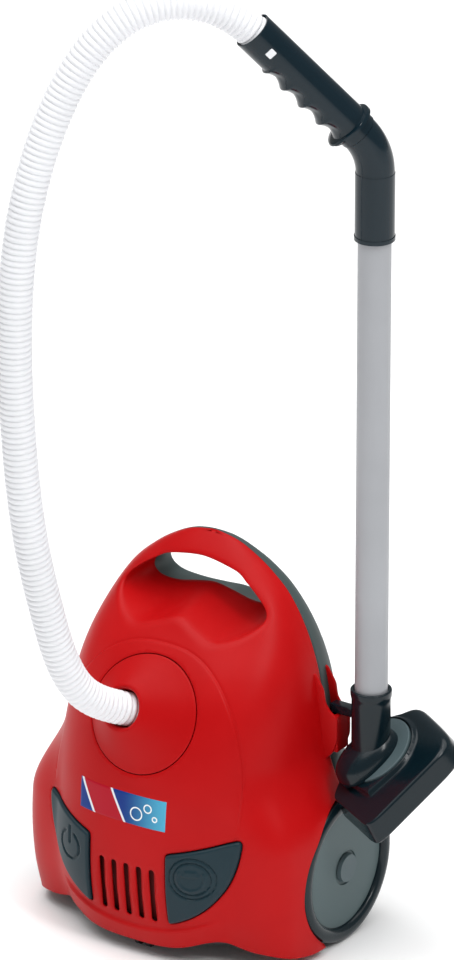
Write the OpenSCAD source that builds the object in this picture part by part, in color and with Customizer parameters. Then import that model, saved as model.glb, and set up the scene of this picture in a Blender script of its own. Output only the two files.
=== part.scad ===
// Toy canister vacuum cleaner: an egg-shaped body on two wheels and a caster, with a carrying
// handle, two foot buttons, a ribbed hose, and a wand whose floor nozzle is parked on the side.
// Millimetres. The origin is on the floor under the wheel axle, and the front faces -Y.

/* [Body] */
// Height of the body over its carrying handle
body_h = 298; // [285:1:315]
// Width of the egg at its widest, without the fenders
body_w = 210; // [206:1:220]
// Depth of the red front shell, from the seam to the nose
nose_depth = 116; // [112:1:124]
// Depth of the dark rear shell, from the seam to the back
tail_depth = 65; // [62:1:80]
// Wall of the moulded shells
wall = 2.4; // [2:0.1:3]
// Bulge of the fenders in front of the wheels
hip_reach = 20; // [16:1:22]
// Height of the nose's lower edge above the floor
hem_z = 12; // [10:1:15]
// Clearance between moulded pieces that fit together
fit = 0.3; // [0.2:0.05:0.5]

/* [Carrying handle] */
// Width of the handle's opening at the front
gap_front_w = 132; // [120:1:138]
// Width of the handle's opening at the back
gap_back_w = 106; // [96:1:110]
// Height of the handle's underside
gap_top = 282; // [279:0.5:283]
// Height of the opening's floor at the front rim
gap_floor_front = 238; // [234:1:244]
// Height of the crest of the opening's floor, between the two shells
gap_crest = 256; // [252:1:258]
// Height of the opening's floor at the back
gap_floor_back = 242; // [238:1:246]

/* [Wheels] */
// Radius of the rear wheels
wheel_r = 57; // [54:0.5:60]
// Width of a rear wheel
wheel_w = 25; // [22:0.5:25.5]
// Distance over the wheels' outer faces
track = 236; // [234:1:238]
// Gap between a wheel and its arch
arch_gap = 2.5; // [2:0.1:4]
// Diameter of the steel axle
axle_d = 6; // [5:0.5:8]
// Radial play of a shaft in its bore
run_gap = 0.05; // [0.02:0.01:0.08]

/* [Caster] */
// Radius of the small twin wheels under the nose
caster_r = 6.5; // [6:0.1:6.8]
// Width of one caster wheel
caster_w = 4; // [3:0.5:5]
// Place of the swivel axis, ahead of the axle
caster_ahead = 78; // [70:1:82]
// Trail of the caster's wheels from the swivel axis
caster_trail = 12; // [11:0.5:14]

/* [Foot buttons] */
// Travel of a button
button_travel = 3; // [2:0.5:4]
// Gap round a button
button_gap = 0.7; // [0.5:0.1:1]
// How far a button's face stands proud of the shell
button_proud = 2; // [1:0.5:3]
// Thickness of a button's face behind the shell's surface
button_depth = 4; // [3:0.5:5]
// Diameter of a button's guide post
post_d = 6; // [5:0.5:7]

/* [Grille] */
// Number of air slots
slot_count = 5; // [3:1:5]
// Spacing of the slots
slot_pitch = 10.9; // [9:0.1:11.5]
// Width of a slot
slot_w = 4.4; // [3:0.1:5]
// Length of a slot
slot_h = 40; // [30:1:42]
// Height of the slots' middle
slot_z = 56; // [52:1:60]

/* [Hose] */
// Diameter over the ribs
hose_d = 25; // [24:0.1:25.2]
// Bore of the hose
hose_bore = 19; // [17:0.5:20]
// Depth of a rib
rib_h = 1.3; // [0.8:0.1:1.6]
// Number of ribs
rib_count = 168; // [100:1:190]

/* [Hose port] */
// Radius of the round port in the front shell
port_r = 43.5; // [41:0.5:45]
// Height of the port's middle
port_z = 184.5; // [182:0.5:187]
// Lean of the port's face from the vertical
port_lean = 26.7; // [25:0.1:28]
// Rise of the port's dome
port_rise = 6; // [5:0.5:7]

/* [Wand] */
// Place of the wand to the right of the body's middle
wand_x = 134; // [133:1:140]
// Place of the wand behind the axle
wand_y = 2; // [0:1:4]
// Diameter of the wand's tube
tube_d = 24; // [22:0.5:25]
// Wall of the wand's tube
tube_wall = 1.6; // [1.2:0.1:2.4]
// Height of the tube's lower end
tube_foot = 178; // [176:1:182]
// Length of the tube
tube_len = 402; // [390:1:404]
// Outer diameter of the sockets that hold the tube
socket_d = 28.5; // [28:0.1:30]
// Travel of the wand when it is lifted off its bracket
wand_lift = 60; // [40:5:80]

/* [Hand grip] */
// Height where the wand bends into the grip
bend_z = 621; // [619:0.5:623]
// Angle of the grip above the horizontal
grip_pitch = 47; // [46:0.5:48]
// Diameter of the grip
grip_d = 29; // [28.5:0.5:31]
// Length of the grip
grip_len = 111; // [107:1:112]
// Number of finger grooves
finger_count = 4; // [3:1:4]

/* [Nozzle] */
// Height where the wand meets the nozzle's neck
neck_z = 161; // [160:1:163]
// Lean of the turntable's axis from the vertical
nozzle_tilt = 39; // [38:0.5:40]
// Radius of the turntable
turntable_r = 28; // [26:0.5:29]
// Thickness of the turntable
turntable_t = 4; // [3:0.5:5]
// Reach of the nozzle's top face towards the body
head_left = 46; // [43:0.5:47]
// Reach of the nozzle's top face away from the body
head_right = 44; // [42:0.5:47]
// Reach of the nozzle in front of the turntable's axis
head_front = 54; // [50:1:56]
// Reach of the nozzle behind the turntable's axis
head_back = 16.5; // [16:0.1:17]
// Height of the nozzle
head_h = 18; // [16:0.5:19]
// Flare of the nozzle's near end towards the floor
head_flare = 4; // [2:0.5:5]

/* [Works] */
// Radius of the motor
motor_r = 12; // [10:0.5:13]
// Length of the motor
motor_len = 28; // [24:1:30]
// Radius of the fan
fan_r = 28; // [22:1:30]
// Radius of a battery cell
cell_r = 7.1; // [7:0.05:7.2]
// Length of a battery cell
cell_len = 49.5; // [49:0.1:50.5]
// Number of cells
cell_count = 3; // [2:1:3]

/* [Hidden] */
$fn = 48;
RED = [0.72, 0.05, 0.06];
DARK = [0.13, 0.2, 0.23];
GREY = [0.3, 0.34, 0.35];
STEEL = [0.7, 0.7, 0.72];
WHITE = [0.93, 0.93, 0.92];

// The egg, from its top down to its hem: height, half width, front depth and rear depth, each as
// a share of the body's own size.
EGG = [
    [1, 0, 0, 0], [0.987, 0.19, 0.043, 0.123], [0.96, 0.35, 0.121, 0.231],
    [0.926, 0.49, 0.198, 0.338], [0.879, 0.629, 0.302, 0.446], [0.805, 0.757, 0.466, 0.6],
    [0.721, 0.848, 0.672, 0.738], [0.631, 0.9, 0.819, 0.846], [0.503, 0.943, 0.927, 0.938],
    [0.369, 0.981, 0.983, 0.985], [0.235, 1, 1, 1], [0.117, 0.99, 0.97, 0.969],
    [0.027, 0.962, 0.905, 0.923]
];
LAST = len(EGG) - 1;
nose_power = 2.6;
tail_power = 2.3;
egg_step = 7.5;
egg_top = 0.3;
row_step = 0.5;
hem_row = EGG[LAST][0] * body_h;
hem_rise = 9;
hem_drop = 6;

// Foot button outline in X and Z: inner edge, top edge to the tip, and a round outer edge.
button_foot = [34, 34];
button_head = [33.5, 90.5];
button_tip = [81.5, 107.5];
button_belly = [80, 50];
button_brow = [58, 97];
post_x = 55;
post_z = 75;
post_end = 24;
post_r = post_d / 2;
post_spot = face_at(post_x, post_z);
post_y = body_at(-1, post_spot[0], post_spot[1]).y + 1;
guide_len = 10;
guide_wall = 2;
carrier_y = -84;
carrier_t = 6;
spring_wire = 0.8;
spring_turns = 4;

// Levels of the works inside
pan_z = 17;
pan_t = 2.5;
pan_top = pan_z + pan_t;
axle_r = axle_d / 2;
axle_end = track / 2 - 2;
wheel_in = track / 2 - wheel_w;
well_in = wheel_in - arch_gap;
well_r = wheel_r + arch_gap;
bush_r = axle_r + 2.5;
bush_lip = 2.5;
cap_r = 11;
cap_t = 3;
caster_y = -caster_ahead;
caster_axle_r = 1.5;
stem_r = 3;
stem_top = 31;
boss_top = pan_z + 13;
motor_z = slot_z + 1;
shaft_r = 1;
grille_y = body_at(-1, 0, t_at(slot_z)).y + wall;
fan_y = grille_y + 13;
fan_t = 6;
fan_blades = 6;
motor_y = fan_y + fan_t + 2.5;
cell_pitch = 2 * cell_r + 1.8;
tray_wall = 2;
tray_in = [cell_len + 10.5, cell_pitch * cell_count, 2 * cell_r + 2.3];
tray_y = -4;
tab_w = 12;
tab_len = 9;
tab_t = 1.2;
door_screw_r = 1.4;
screw_r = 1.45;
screw_head_r = 3;
screw_head_t = 2.2;
screw_in = 12;
screw_seat = 8;
boss_r = 5;

// Shell screws: place across and height, each on both sides
SCREWS = [[75, 225], [90, 136]];

// The hose's route: hand-chosen points of a smooth curve, from the port to the grip
ROUTE = [
    [-4, -79, 180], [-13, -95, 188], [-22, -111, 195], [-31, -130, 210], [-37, -144, 240],
    [-41, -155, 284], [-45, -165, 328], [-48, -171, 376], [-50, -174, 424], [-51, -176, 474],
    [-50, -176, 524], [-47, -173, 574], [-40, -165, 622], [-30, -154, 664], [-15, -140, 704],
    [7, -119, 733], [35, -93, 742], [62, -70, 730], [80, -52, 703]
];
hose_r = hose_d / 2;
hose_sides = 8;
bore_rings = 60;
hose_side = [0.7, -0.7, 0.1];
hose_play = 0.7;
hose_dir = unit(ROUTE[1] - ROUTE[0]);
hose_seat = 2;

// Port, wand, grip and nozzle frames
port_y = body_at(-1, 0, t_at(port_z)).y + port_rise + 0.8;
cup_r = hose_r + hose_play;
cup_wall = 2;
cup_len = 12;
funnel_r = 24;
funnel_len = 14;
tube_r = tube_d / 2;
tube_top = tube_foot + tube_len;
socket_r = socket_d / 2;
socket_lip = 0.8;
collar_top = neck_z + 40;
elbow_foot = tube_top - 27;
elbow_bend = 45;
grip_heading = 225;
grip_r = grip_d / 2;
grip_turn = 90 - grip_pitch;
elbow_reach = elbow_bend * tan(grip_turn / 2);
elbow_r = socket_r - 0.35;
elbow_bore = 10.2;
grip_start = elbow_reach;
guard_up = 7;
tooth_h = 2.4;
tooth_w = 11;
grip_end = grip_start + grip_len;
hose_in_grip = 17;
guard_r = 18.5;
guard_t = 3.5;
sleeve_r = 10.8;
sleeve_wall = 1.6;
sleeve_len = 20;
window = [8, 7];
window_turn = 150;
nozzle_heading = 31.5;
turntable_drop = 7.4;
head_gap = 0.5;
spigot_r = 11;
spigot_wall = 2;
spigot_len = 8;
head_wall = 2.4;
sole_t = 2.4;
front_corner = 8;
back_corner = 32;
far_corner = 16;
mouth = [66, 12];
mouth_shift = 32;
sole_screw_x = 34;
sole_screw_y = 2;

// Park bracket on the body's right side
rib_t = 2.5;
rib_gap = 13.5;
web_x = 106;
web_t = 4;
web_foot = 150;
web_top = 179;
hook_t = 2.5;
hook_w = 9;
hook_x = 101;
hook_h = 7;
hook_drop = 19;

// Plain mathematics
function unit(v) = v / norm(v);
function smooth(a, b, x) = let (t = max(0, min(1, (x - a) / (b - a)))) t * t * (3 - 2 * t);
function mix(a, b, t) = a + (b - a) * t;
function curve(a, b, c, t) = (1 - t) ^ 2 * a + 2 * t * (1 - t) * b + t ^ 2 * c;

// A row of the egg at t, by a cubic through its neighbours
function knot(k) = EGG[max(0, min(LAST, k))];
function row(t) =
    let (i = min(floor(t), LAST - 1), f = t - i, m0 = (knot(i + 1) - knot(i - 1)) / 2,
         m1 = (knot(i + 2) - knot(i)) / 2)
    (2 * f ^ 3 - 3 * f ^ 2 + 1) * knot(i) + (f ^ 3 - 2 * f ^ 2 + f) * m0
    + (3 * f ^ 2 - 2 * f ^ 3) * knot(i + 1) + (f ^ 3 - f ^ 2) * m1;
function t_at(z, low = 0, high = LAST, n = 24) =
    let (m = (low + high) / 2)
    n == 0 ? m : row(m)[0] * body_h > z ? t_at(z, m, high, n - 1) : t_at(z, low, m, n - 1);

// Fender bulge and lower edge, by angle from the middle of the shell (90 is the seam)
function hip(side, p, z) =
    hip_reach * smooth(155, 92, z)
    * (side < 0 ? smooth(38, 66, p) * (1 - 0.35 * smooth(75, 95, p)) : 0.7 * smooth(50, 90, p));
function hem(side, p) =
    hem_z - hem_drop * smooth(52, 75, p) + (side < 0 ? hem_rise * exp(-((p - 32) / 13) ^ 2) : 0);

// A point of the body's outside: side -1 is the front shell and 1 the rear shell
function body_at(side, p, t) =
    let (r = row(t), n = side < 0 ? nose_power : tail_power,
         depth = side < 0 ? nose_depth * r[2] : tail_depth * r[3], z = r[0] * body_h,
         x = body_w / 2 * r[1] * sign(p) * abs(sin(p)) ^ (2 / n),
         y = side * depth * abs(cos(p)) ^ (2 / n),
         k = 1 + hip(side, abs(p), z) / max(0.01, norm([x, y])),
         drop = (hem(side, abs(p)) - hem_row) * smooth(62, hem_row, z))
    [x * k, y * k, z + drop];

// The same point, moved along the surface's normal
function body_normal(side, p, t) =
    let (a = body_at(side, min(89.5, p + 1.5), t) - body_at(side, max(-89.5, p - 1.5), t),
         b = body_at(side, p, min(LAST, t + 0.1)) - body_at(side, p, max(0.05, t - 0.1)))
    unit(cross(a, b)) * side;
function body_off(side, p, t, off) =
    off == 0 ? body_at(side, p, t) : body_at(side, p, t) + off * body_normal(side, p, t);

// One ring of a shell, closed past the seam plane
function body_ring(side, t, off, past, lower) =
    let (arc = [for (p = [-90 : egg_step : 90]) body_off(side, p, t, off) - [0, 0, lower]],
         a = arc[0], b = arc[len(arc) - 1])
    past == 0 ? arc : concat([[a.x, -side * past, a.z]], arc, [[b.x, -side * past, b.z]]);

// Skins a list of rings with triangles. The caps join the points that face each other.
module skin(rings, flip = false) {
    m = len(rings[0]);
    n = len(rings);
    sides = [
        for (i = [0 : n - 2], k = [0 : m - 1])
            let (a = i * m + k, b = i * m + (k + 1) % m, c = b + m, d = a + m) each [[a, d, c], [a, c, b]]
    ];
    lids = [
        for (k = [0 : floor((m - 1) / 2) - 1])
            let (a = k, b = k + 1, c = m - 1 - k, d = m - 2 - k, top = (n - 1) * m)
            each concat(
                [[a, b, c], [top + a, top + c, top + b]],
                b < d ? [[b, d, c], [top + b, top + c, top + d]] : []
            )
    ];
    faces = concat(sides, lids);
    polyhedron([for (ring = rings) each ring], flip ? [for (f = faces) [f[0], f[2], f[1]]] : faces);
}

// A solid of one half of the body, grown or shrunk by off
module body_solid(side, off = 0, past = 0, lower = 0) {
    rows = [for (t = [egg_top : row_step : LAST]) t];
    rings = [for (t = concat(rows, [LAST])) body_ring(side, t, off, past, 0)];
    foot = lower > 0 ? [body_ring(side, LAST, off, past, lower)] : [];
    skin(concat(rings, foot), side < 0);
}

// Round arches that the wheels run in
module wheel_wells(grow = 0) {
    for (side = [0, 1]) mirror([side, 0, 0])
        translate([well_in - grow, 0, wheel_r]) rotate([0, 90, 0]) cylinder(r = well_r + grow, h = 60);
}

// The opening under the carrying handle, wider and lower at the front
module handle_gap(grow = 0) {
    function lens(w, floor_z) = [
        for (a = [0 : 11.25 : 348.75])
            [(w / 2 + grow) * cos(a), floor_z + sin(a) * (a < 180 ? gap_top - floor_z + grow : 5 + grow)]
    ];
    module slice(y, w, floor_z) translate([0, y, 0]) rotate([90, 0, 0])
        linear_extrude(0.1) polygon(lens(w, floor_z));
    for (end = [[-70, gap_front_w, gap_floor_front], [45, gap_back_w, gap_floor_back]]) hull() {
        slice(end[0], end[1], end[2]);
        slice(0, gap_back_w, gap_crest);
    }
}

// Screw bosses that stand on the seam, rooted in the shell's wall
module bosses(side) {
    for (s = SCREWS, m = [0, 1]) mirror([m, 0, 0]) hull() {
        translate([s.x, 0, s.y]) rotate([-90 * side, 0, 0]) cylinder(r = boss_r, h = 40, $fn = 24);
        translate([s.x + 12, 0, s.y]) rotate([-90 * side, 0, 0]) cylinder(r = boss_r, h = 40, $fn = 24);
    }
}

module boss_bores(r, y0, y1) {
    for (s = SCREWS, m = [0, 1]) mirror([m, 0, 0])
        translate([s.x, y0, s.y]) rotate([-90, 0, 0]) cylinder(r = r, h = y1 - y0, $fn = 24);
}

// Hollow half of the body, with its arches and its half of the handle
module hollow_half(side) {
    difference() {
        body_solid(side);
        wheel_wells();
        handle_gap();
        difference() {
            body_solid(side, -wall, 1, 30);
            wheel_wells(wall);
            handle_gap(wall);
            bosses(side);
        }
        rotate([0, 90, 0]) translate([-wheel_r, 0, -well_in - 1])
            cylinder(r = bush_r + fit, h = 2 * well_in + 2, $fn = 32);
    }
}

// Outline of the right-hand foot button in X and Z
button_outline = concat(
    [for (k = [0 : 4]) curve(button_head, button_brow, button_tip, k / 4)],
    [for (k = [7 : -1 : 0]) curve(button_foot, button_belly, button_tip, k / 8)]
);

module button_prism(grow) {
    rotate([90, 0, 0]) translate([0, 0, 60]) linear_extrude(90) offset(delta = grow)
        polygon(button_outline);
}

// Frame of the round hose port: Z along its axis
module at_port() translate([0, port_y, port_z]) rotate([90 - port_lean, 0, 0]) children();

// Frame along the hose's first stretch: Z out of the port, zero at the hose's end
module at_hose_foot() {
    translate(ROUTE[0]) rotate([0, acos(hose_dir.z), atan2(hose_dir.y, hose_dir.x)]) children();
}

module front_shell() color(RED) difference() {
    hollow_half(-1);
    boss_bores(screw_r + 0.05, -screw_in - 1, 0.1);
    at_port() cylinder(r = port_r + fit, h = 60, center = true);
    for (m = [0, 1]) mirror([m, 0, 0]) button_prism(button_gap);
    for (k = [0 : slot_count - 1]) translate([(k - (slot_count - 1) / 2) * slot_pitch, -60, slot_z])
        rotate([90, 0, 0]) hull() for (s = [-1, 1])
            translate([0, s * (slot_h - slot_w) / 2, 0]) cylinder(d = slot_w, h = 80, $fn = 16);
}

module rear_shell() color(GREY) difference() {
    hollow_half(1);
    boss_bores(screw_r + 0.2, -0.1, 60);
    boss_bores(screw_head_r + fit, screw_seat, 60);
}

// Floor of the body, with the caster's boss and the battery opening
module base_pan() color(DARK) {
    t = t_at(pan_z + pan_t / 2);
    inset = -wall - fit - 3.2;
    ps = [for (p = [-90 : egg_step : 90]) p];
    ring = concat(
        [for (p = ps) let (v = body_off(-1, p, t, inset)) [v.x, min(v.y, 0)]],
        [for (k = [len(ps) - 2 : -1 : 1]) let (v = body_off(1, ps[k], t, inset)) [v.x, max(v.y, 0)]]
    );
    difference() {
        union() {
            translate([0, 0, pan_z]) linear_extrude(pan_t) polygon(ring);
            translate([0, caster_y, pan_z]) cylinder(r = stem_r + 3, h = boss_top - pan_z);
            translate([0, door_screw_y(), pan_z]) cylinder(r = 4, h = 11);
        }
        for (m = [0, 1]) mirror([m, 0, 0]) translate([well_in - wall - fit, -well_r - wall - fit, 0])
            cube([60, 2 * (well_r + wall + fit), 60]);
        translate([0, caster_y, 0]) cylinder(r = stem_r + run_gap, h = 60);
        translate([-tray_in.x / 2, tray_y, 0]) cube([tray_in.x, tray_in.y, 60]);
        translate([-tab_w / 2 - fit, tray_y + tray_in.y - 1, 0])
            cube([tab_w + 2 * fit, tab_len + 1 + fit, pan_z + tab_t + fit]);
        translate([0, door_screw_y(), 0]) cylinder(r = door_screw_r + 0.02, h = pan_z + 10);
    }
}
function door_screw_y() = tray_y + tray_in.y + tab_len / 2;

// Round dome with the funnel and the cup that hold the hose
module hose_port() {
    dome_r = (port_r ^ 2 + port_rise ^ 2) / (2 * port_rise);
    arc = asin(port_r / dome_r);
    module dome(r_out, low) rotate_extrude() polygon(concat(
        [[0, low], [r_out, low], [r_out, 0]],
        [for (k = [0 : 8]) let (a = arc * (1 - k / 8))
            [dome_r * sin(a), dome_r * cos(a) - dome_r + port_rise]]
    ));
    color(RED) difference() {
        union() {
            difference() {
                at_port() dome(port_r, -wall - 1);
                at_port() translate([0, 0, -wall - 0.6]) scale((port_r - wall) / port_r) dome(port_r, -20);
            }
            difference() {
                at_hose_foot() translate([0, 0, -hose_seat]) union() {
                    cylinder(r = cup_r + cup_wall, h = hose_seat + cup_len);
                    translate([0, 0, hose_seat + cup_len - 3])
                        cylinder(r1 = cup_r + cup_wall, r2 = funnel_r + cup_wall, h = funnel_len + 3);
                }
                at_port() difference() {
                    translate([0, 0, -20]) cylinder(r = 80, h = 80);
                    translate([0, 0, -21]) cylinder(r = port_r, h = 21);
                    dome(port_r, -1);
                }
            }
        }
        at_hose_foot() cylinder(r = cup_r, h = 60);
        at_hose_foot() translate([0, 0, cup_len]) cylinder(r1 = cup_r, r2 = funnel_r, h = funnel_len);
        at_hose_foot() translate([0, 0, cup_len + funnel_len - 0.01]) cylinder(r = funnel_r, h = 30);
        at_hose_foot() translate([0, 0, -hose_seat - 1]) cylinder(d = hose_bore, h = 20);
    }
}

// Printed label that follows the shell's front
module front_label() color(WHITE) {
    label = [76, 23];
    label_mid = [-6, 119.5];
    label_t = 0.4;
    intersection() {
        difference() {
            body_solid(-1, label_t);
            body_solid(-1, 0.02);
        }
        rotate([90, 0, 0]) translate([label_mid.x - label.x / 2, label_mid.y - label.y / 2, 60])
            linear_extrude(90) square(label);
    }
}

// Two ribs and a web that the wand's hook drops behind
module park_bracket() color(RED) {
    rib = [
        [70, 140], [70, 206], [91, 206], [98, 197], [99.5, 188], [104, 181], [web_x + web_t, web_top],
        [web_x + web_t, 160], [web_x, web_foot], [96, 140]
    ];
    difference() {
        union() {
            for (s = [-1, 1]) translate([0, wand_y + s * (rib_gap + rib_t) / 2 + rib_t / 2, 0])
                rotate([90, 0, 0]) linear_extrude(rib_t) polygon(rib);
            translate([web_x, wand_y - rib_gap / 2 - 0.1, web_foot])
                cube([web_t, rib_gap + 0.2, web_top - web_foot]);
        }
        body_solid(-1, 0.05, 0.02);
        body_solid(1, 0.05, 0.02);
    }
}

module screw(r, length, head_r, head_t) {
    cylinder(r = r, h = length);
    translate([0, 0, length - 0.01]) difference() {
        cylinder(r1 = head_r, r2 = head_r * 0.8, h = head_t);
        for (a = [0, 90]) rotate([0, 0, a])
            translate([-head_r, -0.4, head_t / 2]) cube([2 * head_r, 0.8, head_t]);
    }
}

module shell_screws() color(STEEL) for (s = SCREWS, m = [0, 1]) mirror([m, 0, 0])
    translate([s.x, -screw_in, s.y]) rotate([-90, 0, 0])
        screw(screw_r, screw_in + screw_seat + 0.05, screw_head_r, screw_head_t);

module along_axle(x) translate([x, 0, wheel_r]) rotate([0, 90, 0]) children();

module axle() color(STEEL) along_axle(-axle_end) cylinder(r = axle_r, h = 2 * axle_end);

// Flanged bushes in the walls of the wheel arches
module axle_bushes() color(DARK) for (m = [0, 1]) mirror([m, 0, 0]) along_axle(0) difference() {
    union() {
        translate([0, 0, well_in - wall - fit - bush_lip]) cylinder(r = bush_r + 2.5, h = bush_lip);
        translate([0, 0, well_in - wall - fit - 0.01]) cylinder(r = bush_r, h = wall + fit + 1.2);
    }
    cylinder(r = axle_r + run_gap, h = 200);
}

module axle_caps() color(DARK) for (m = [0, 1]) mirror([m, 0, 0])
    along_axle(track / 2 - 1 - cap_t) difference() {
        cylinder(r1 = cap_r, r2 = cap_r - 0.6, h = cap_t);
        translate([0, 0, -1]) cylinder(r = axle_r + 0.02, h = axle_end - track / 2 + cap_t + 2);
    }

// A dished wheel with a rounded rim, in a frame with Z out along the axle
module wheel() color(GREY) {
    rim = 12;
    dish = 3;
    web = 3;
    hub_r = cap_r + 2.5;
    round_r = 5;
    difference() {
        rotate_extrude($fn = 96) polygon(concat(
            [[0, wheel_in + 1], [hub_r, wheel_in + 1], [hub_r, track / 2 - dish - web],
             [wheel_r - rim, track / 2 - dish - web], [wheel_r - rim, wheel_in]],
            [for (a = [0 : 22.5 : 90])
                [wheel_r - round_r + round_r * sin(a), wheel_in + round_r - round_r * cos(a)]],
            [for (a = [0 : 22.5 : 90])
                [wheel_r - round_r + round_r * cos(a), track / 2 - round_r + round_r * sin(a)]],
            [[wheel_r - rim, track / 2], [wheel_r - rim - 1, track / 2 - dish], [0, track / 2 - dish]]
        ));
        cylinder(r = axle_r + run_gap, h = 200);
        translate([0, 0, track / 2 - 1 - cap_t - fit]) cylinder(r = cap_r + fit, h = 20);
    }
}

module wheel_right() along_axle(0) wheel();
module wheel_left() mirror([1, 0, 0]) along_axle(0) wheel();

// Swivel fork of the caster: stem, disc and one middle leg
module caster_fork() color(DARK) {
    leg_w = 5;
    axle_y = caster_y - caster_trail;
    disc_z = pan_z - fit - 2.6;
    difference() {
        union() {
            translate([0, caster_y, disc_z + 0.5]) cylinder(r = stem_r, h = stem_top - disc_z);
            translate([0, caster_y, boss_top + fit]) cylinder(r1 = stem_r + 1.2, r2 = stem_r - 0.5, h = 2.4);
            translate([0, caster_y, disc_z]) cylinder(r = 8, h = 2.6);
            hull() {
                translate([-leg_w / 2, caster_y - 5, disc_z]) cube([leg_w, 10, 1]);
                translate([-leg_w / 2, axle_y, caster_r]) rotate([0, 90, 0])
                    cylinder(r = 3.2, h = leg_w, $fn = 32);
            }
        }
        translate([-10, axle_y, caster_r]) rotate([0, 90, 0]) cylinder(r = caster_axle_r + run_gap, h = 20);
    }
}

module caster_wheels() color(GREY) for (m = [0, 1]) mirror([m, 0, 0])
    translate([3, caster_y - caster_trail, caster_r]) rotate([0, 90, 0]) difference() {
        rotate_extrude()
            polygon([[0, 0], [caster_r, 0], [caster_r, caster_w - 1], [caster_r - 1, caster_w],
                     [0, caster_w]]);
        translate([0, 0, -1]) cylinder(r = caster_axle_r + 0.01, h = caster_w);
    }

module caster_pin() color(STEEL) translate([-3 - caster_w + 1.1, caster_y - caster_trail, caster_r])
    rotate([0, 90, 0]) cylinder(r = caster_axle_r, h = 2 * (2 + caster_w - 0.1));

// Place on the front shell with a given X and height, and the surface there moved by off
function angle_at(x, t, low = 0, high = 80, n = 14) =
    let (m = (low + high) / 2)
    n == 0 ? m : body_at(-1, m, t).x < x ? angle_at(x, t, m, high, n - 1) : angle_at(x, t, low, m, n - 1);
function row_at(x, z, low = 4, high = LAST, n = 14) =
    let (m = (low + high) / 2)
    n == 0 ? m
    : body_at(-1, angle_at(x, m), m).z > z ? row_at(x, z, m, high, n - 1) : row_at(x, z, low, m, n - 1);
function face_at(x, z) = let (t = row_at(x, z)) [angle_at(x, t), t];

// A foot button: a cap that follows the shell, and a guide post
module button() {
    along = 8;
    across = 5;
    blunt = 0.97;
    skin([
        for (i = [0 : along])
            let (t = blunt * i / along, low = curve(button_foot, button_belly, button_tip, t),
                 high = curve(button_head, button_brow, button_tip, t),
                 spots = [for (j = [0 : across]) let (q = mix(low, high, j / across)) face_at(q.x, q.y)])
            concat([for (q = spots) body_at(-1, q[0], q[1]) - [0, button_proud, 0]],
                   [for (j = [across : -1 : 0]) body_at(-1, spots[j][0], spots[j][1]) + [0, button_depth, 0]])
    ], true);
    translate([post_x, post_y, post_z]) rotate([-90, 0, 0]) cylinder(r = post_r, h = post_end);
}

module cord_button() color(DARK) button();
module power_button() color(DARK) mirror([1, 0, 0]) button();

// A round-wire spring on a button's post, between the cap and the guide
module button_spring() {
    y0 = post_y + button_depth + 2.5;
    y1 = carrier_y - carrier_t - guide_wall - spring_wire;
    coil_r = post_r + spring_wire;
    path = [
        for (k = [0 : spring_turns * 12])
            [post_x + coil_r * cos(30 * k), mix(y0, y1, k / (spring_turns * 12)),
             post_z + coil_r * sin(30 * k)]
    ];
    skin(tube_rings(path, [for (p = path) spring_wire / 2], 5, [0, 1, 0]));
}

module cord_button_spring() color(STEEL) button_spring();
module power_button_spring() color(STEEL) mirror([1, 0, 0]) button_spring();

// Rings of a round tube along points. The side vector never lies along the path.
function tangent(p, k) = unit(p[min(len(p) - 1, k + 1)] - p[max(0, k - 1)]);
function tube_ring(c, t, r, sides, side) =
    let (u = unit(cross(side, t)), v = cross(t, u))
    [for (k = [0 : sides - 1]) c + r * (cos(360 * k / sides) * u + sin(360 * k / sides) * v)];
function tube_rings(p, r, sides, side) =
    [for (k = [0 : len(p) - 1]) tube_ring(p[k], tangent(p, k), r[k], sides, side)];

// Frame that guides the buttons' posts and carries the switch
module button_carrier() color(DARK) difference() {
    union() {
        for (s = [-1, 1]) {
            translate([s * post_x, carrier_y - carrier_t - guide_wall, post_z]) rotate([-90, 0, 0])
                cylinder(r = post_r + guide_wall, h = guide_len);
            translate([s * post_x - 4, carrier_y - carrier_t, pan_top])
                cube([8, carrier_t, post_z - pan_top]);
        }
        translate([-post_x, carrier_y - carrier_t, motor_z + motor_r + 2])
            cube([2 * post_x, carrier_t, 8]);
        translate([-post_x - 7, carrier_y - 1, post_z - 9]) cube([14, 22, 2]);
    }
    for (s = [-1, 1]) translate([s * post_x, -120, post_z]) rotate([-90, 0, 0])
        cylinder(r = post_r + run_gap, h = 60);
}

module power_switch() color([0.1, 0.1, 0.1]) {
    plunger_y = post_y + post_end + button_travel + 0.4;
    translate([-post_x - 5, plunger_y + 2, post_z - 7]) cube([10, 11, 13]);
    translate([-post_x, plunger_y, post_z]) rotate([-90, 0, 0]) cylinder(r = 1.6, h = 3);
}

module along_motor(y) translate([0, y, motor_z]) rotate([-90, 0, 0]) children();

module motor() color(STEEL) along_motor(motor_y) difference() {
    union() {
        cylinder(r = motor_r, h = motor_len);
        translate([0, 0, -1.2]) cylinder(r = 3, h = 2);
    }
    translate([0, 0, -2]) cylinder(r = shaft_r + run_gap, h = motor_len - 4);
}

module motor_shaft() color(STEEL) along_motor(fan_y)
    cylinder(r = shaft_r, h = motor_y - fan_y + motor_len - 8);

module fan() color(WHITE) along_motor(fan_y) difference() {
    union() {
        cylinder(r = 5, h = fan_t);
        for (k = [0 : fan_blades - 1]) rotate([0, 0, 360 / fan_blades * k]) translate([3, -0.7, 0])
            cube([fan_r - 3, 1.4, fan_t]);
        difference() {
            cylinder(r = fan_r, h = 1.2);
            translate([0, 0, -1]) cylinder(r = fan_r - 16, h = 4);
        }
    }
    translate([0, 0, -1]) cylinder(r = shaft_r + 0.01, h = fan_t + 2);
}

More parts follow.
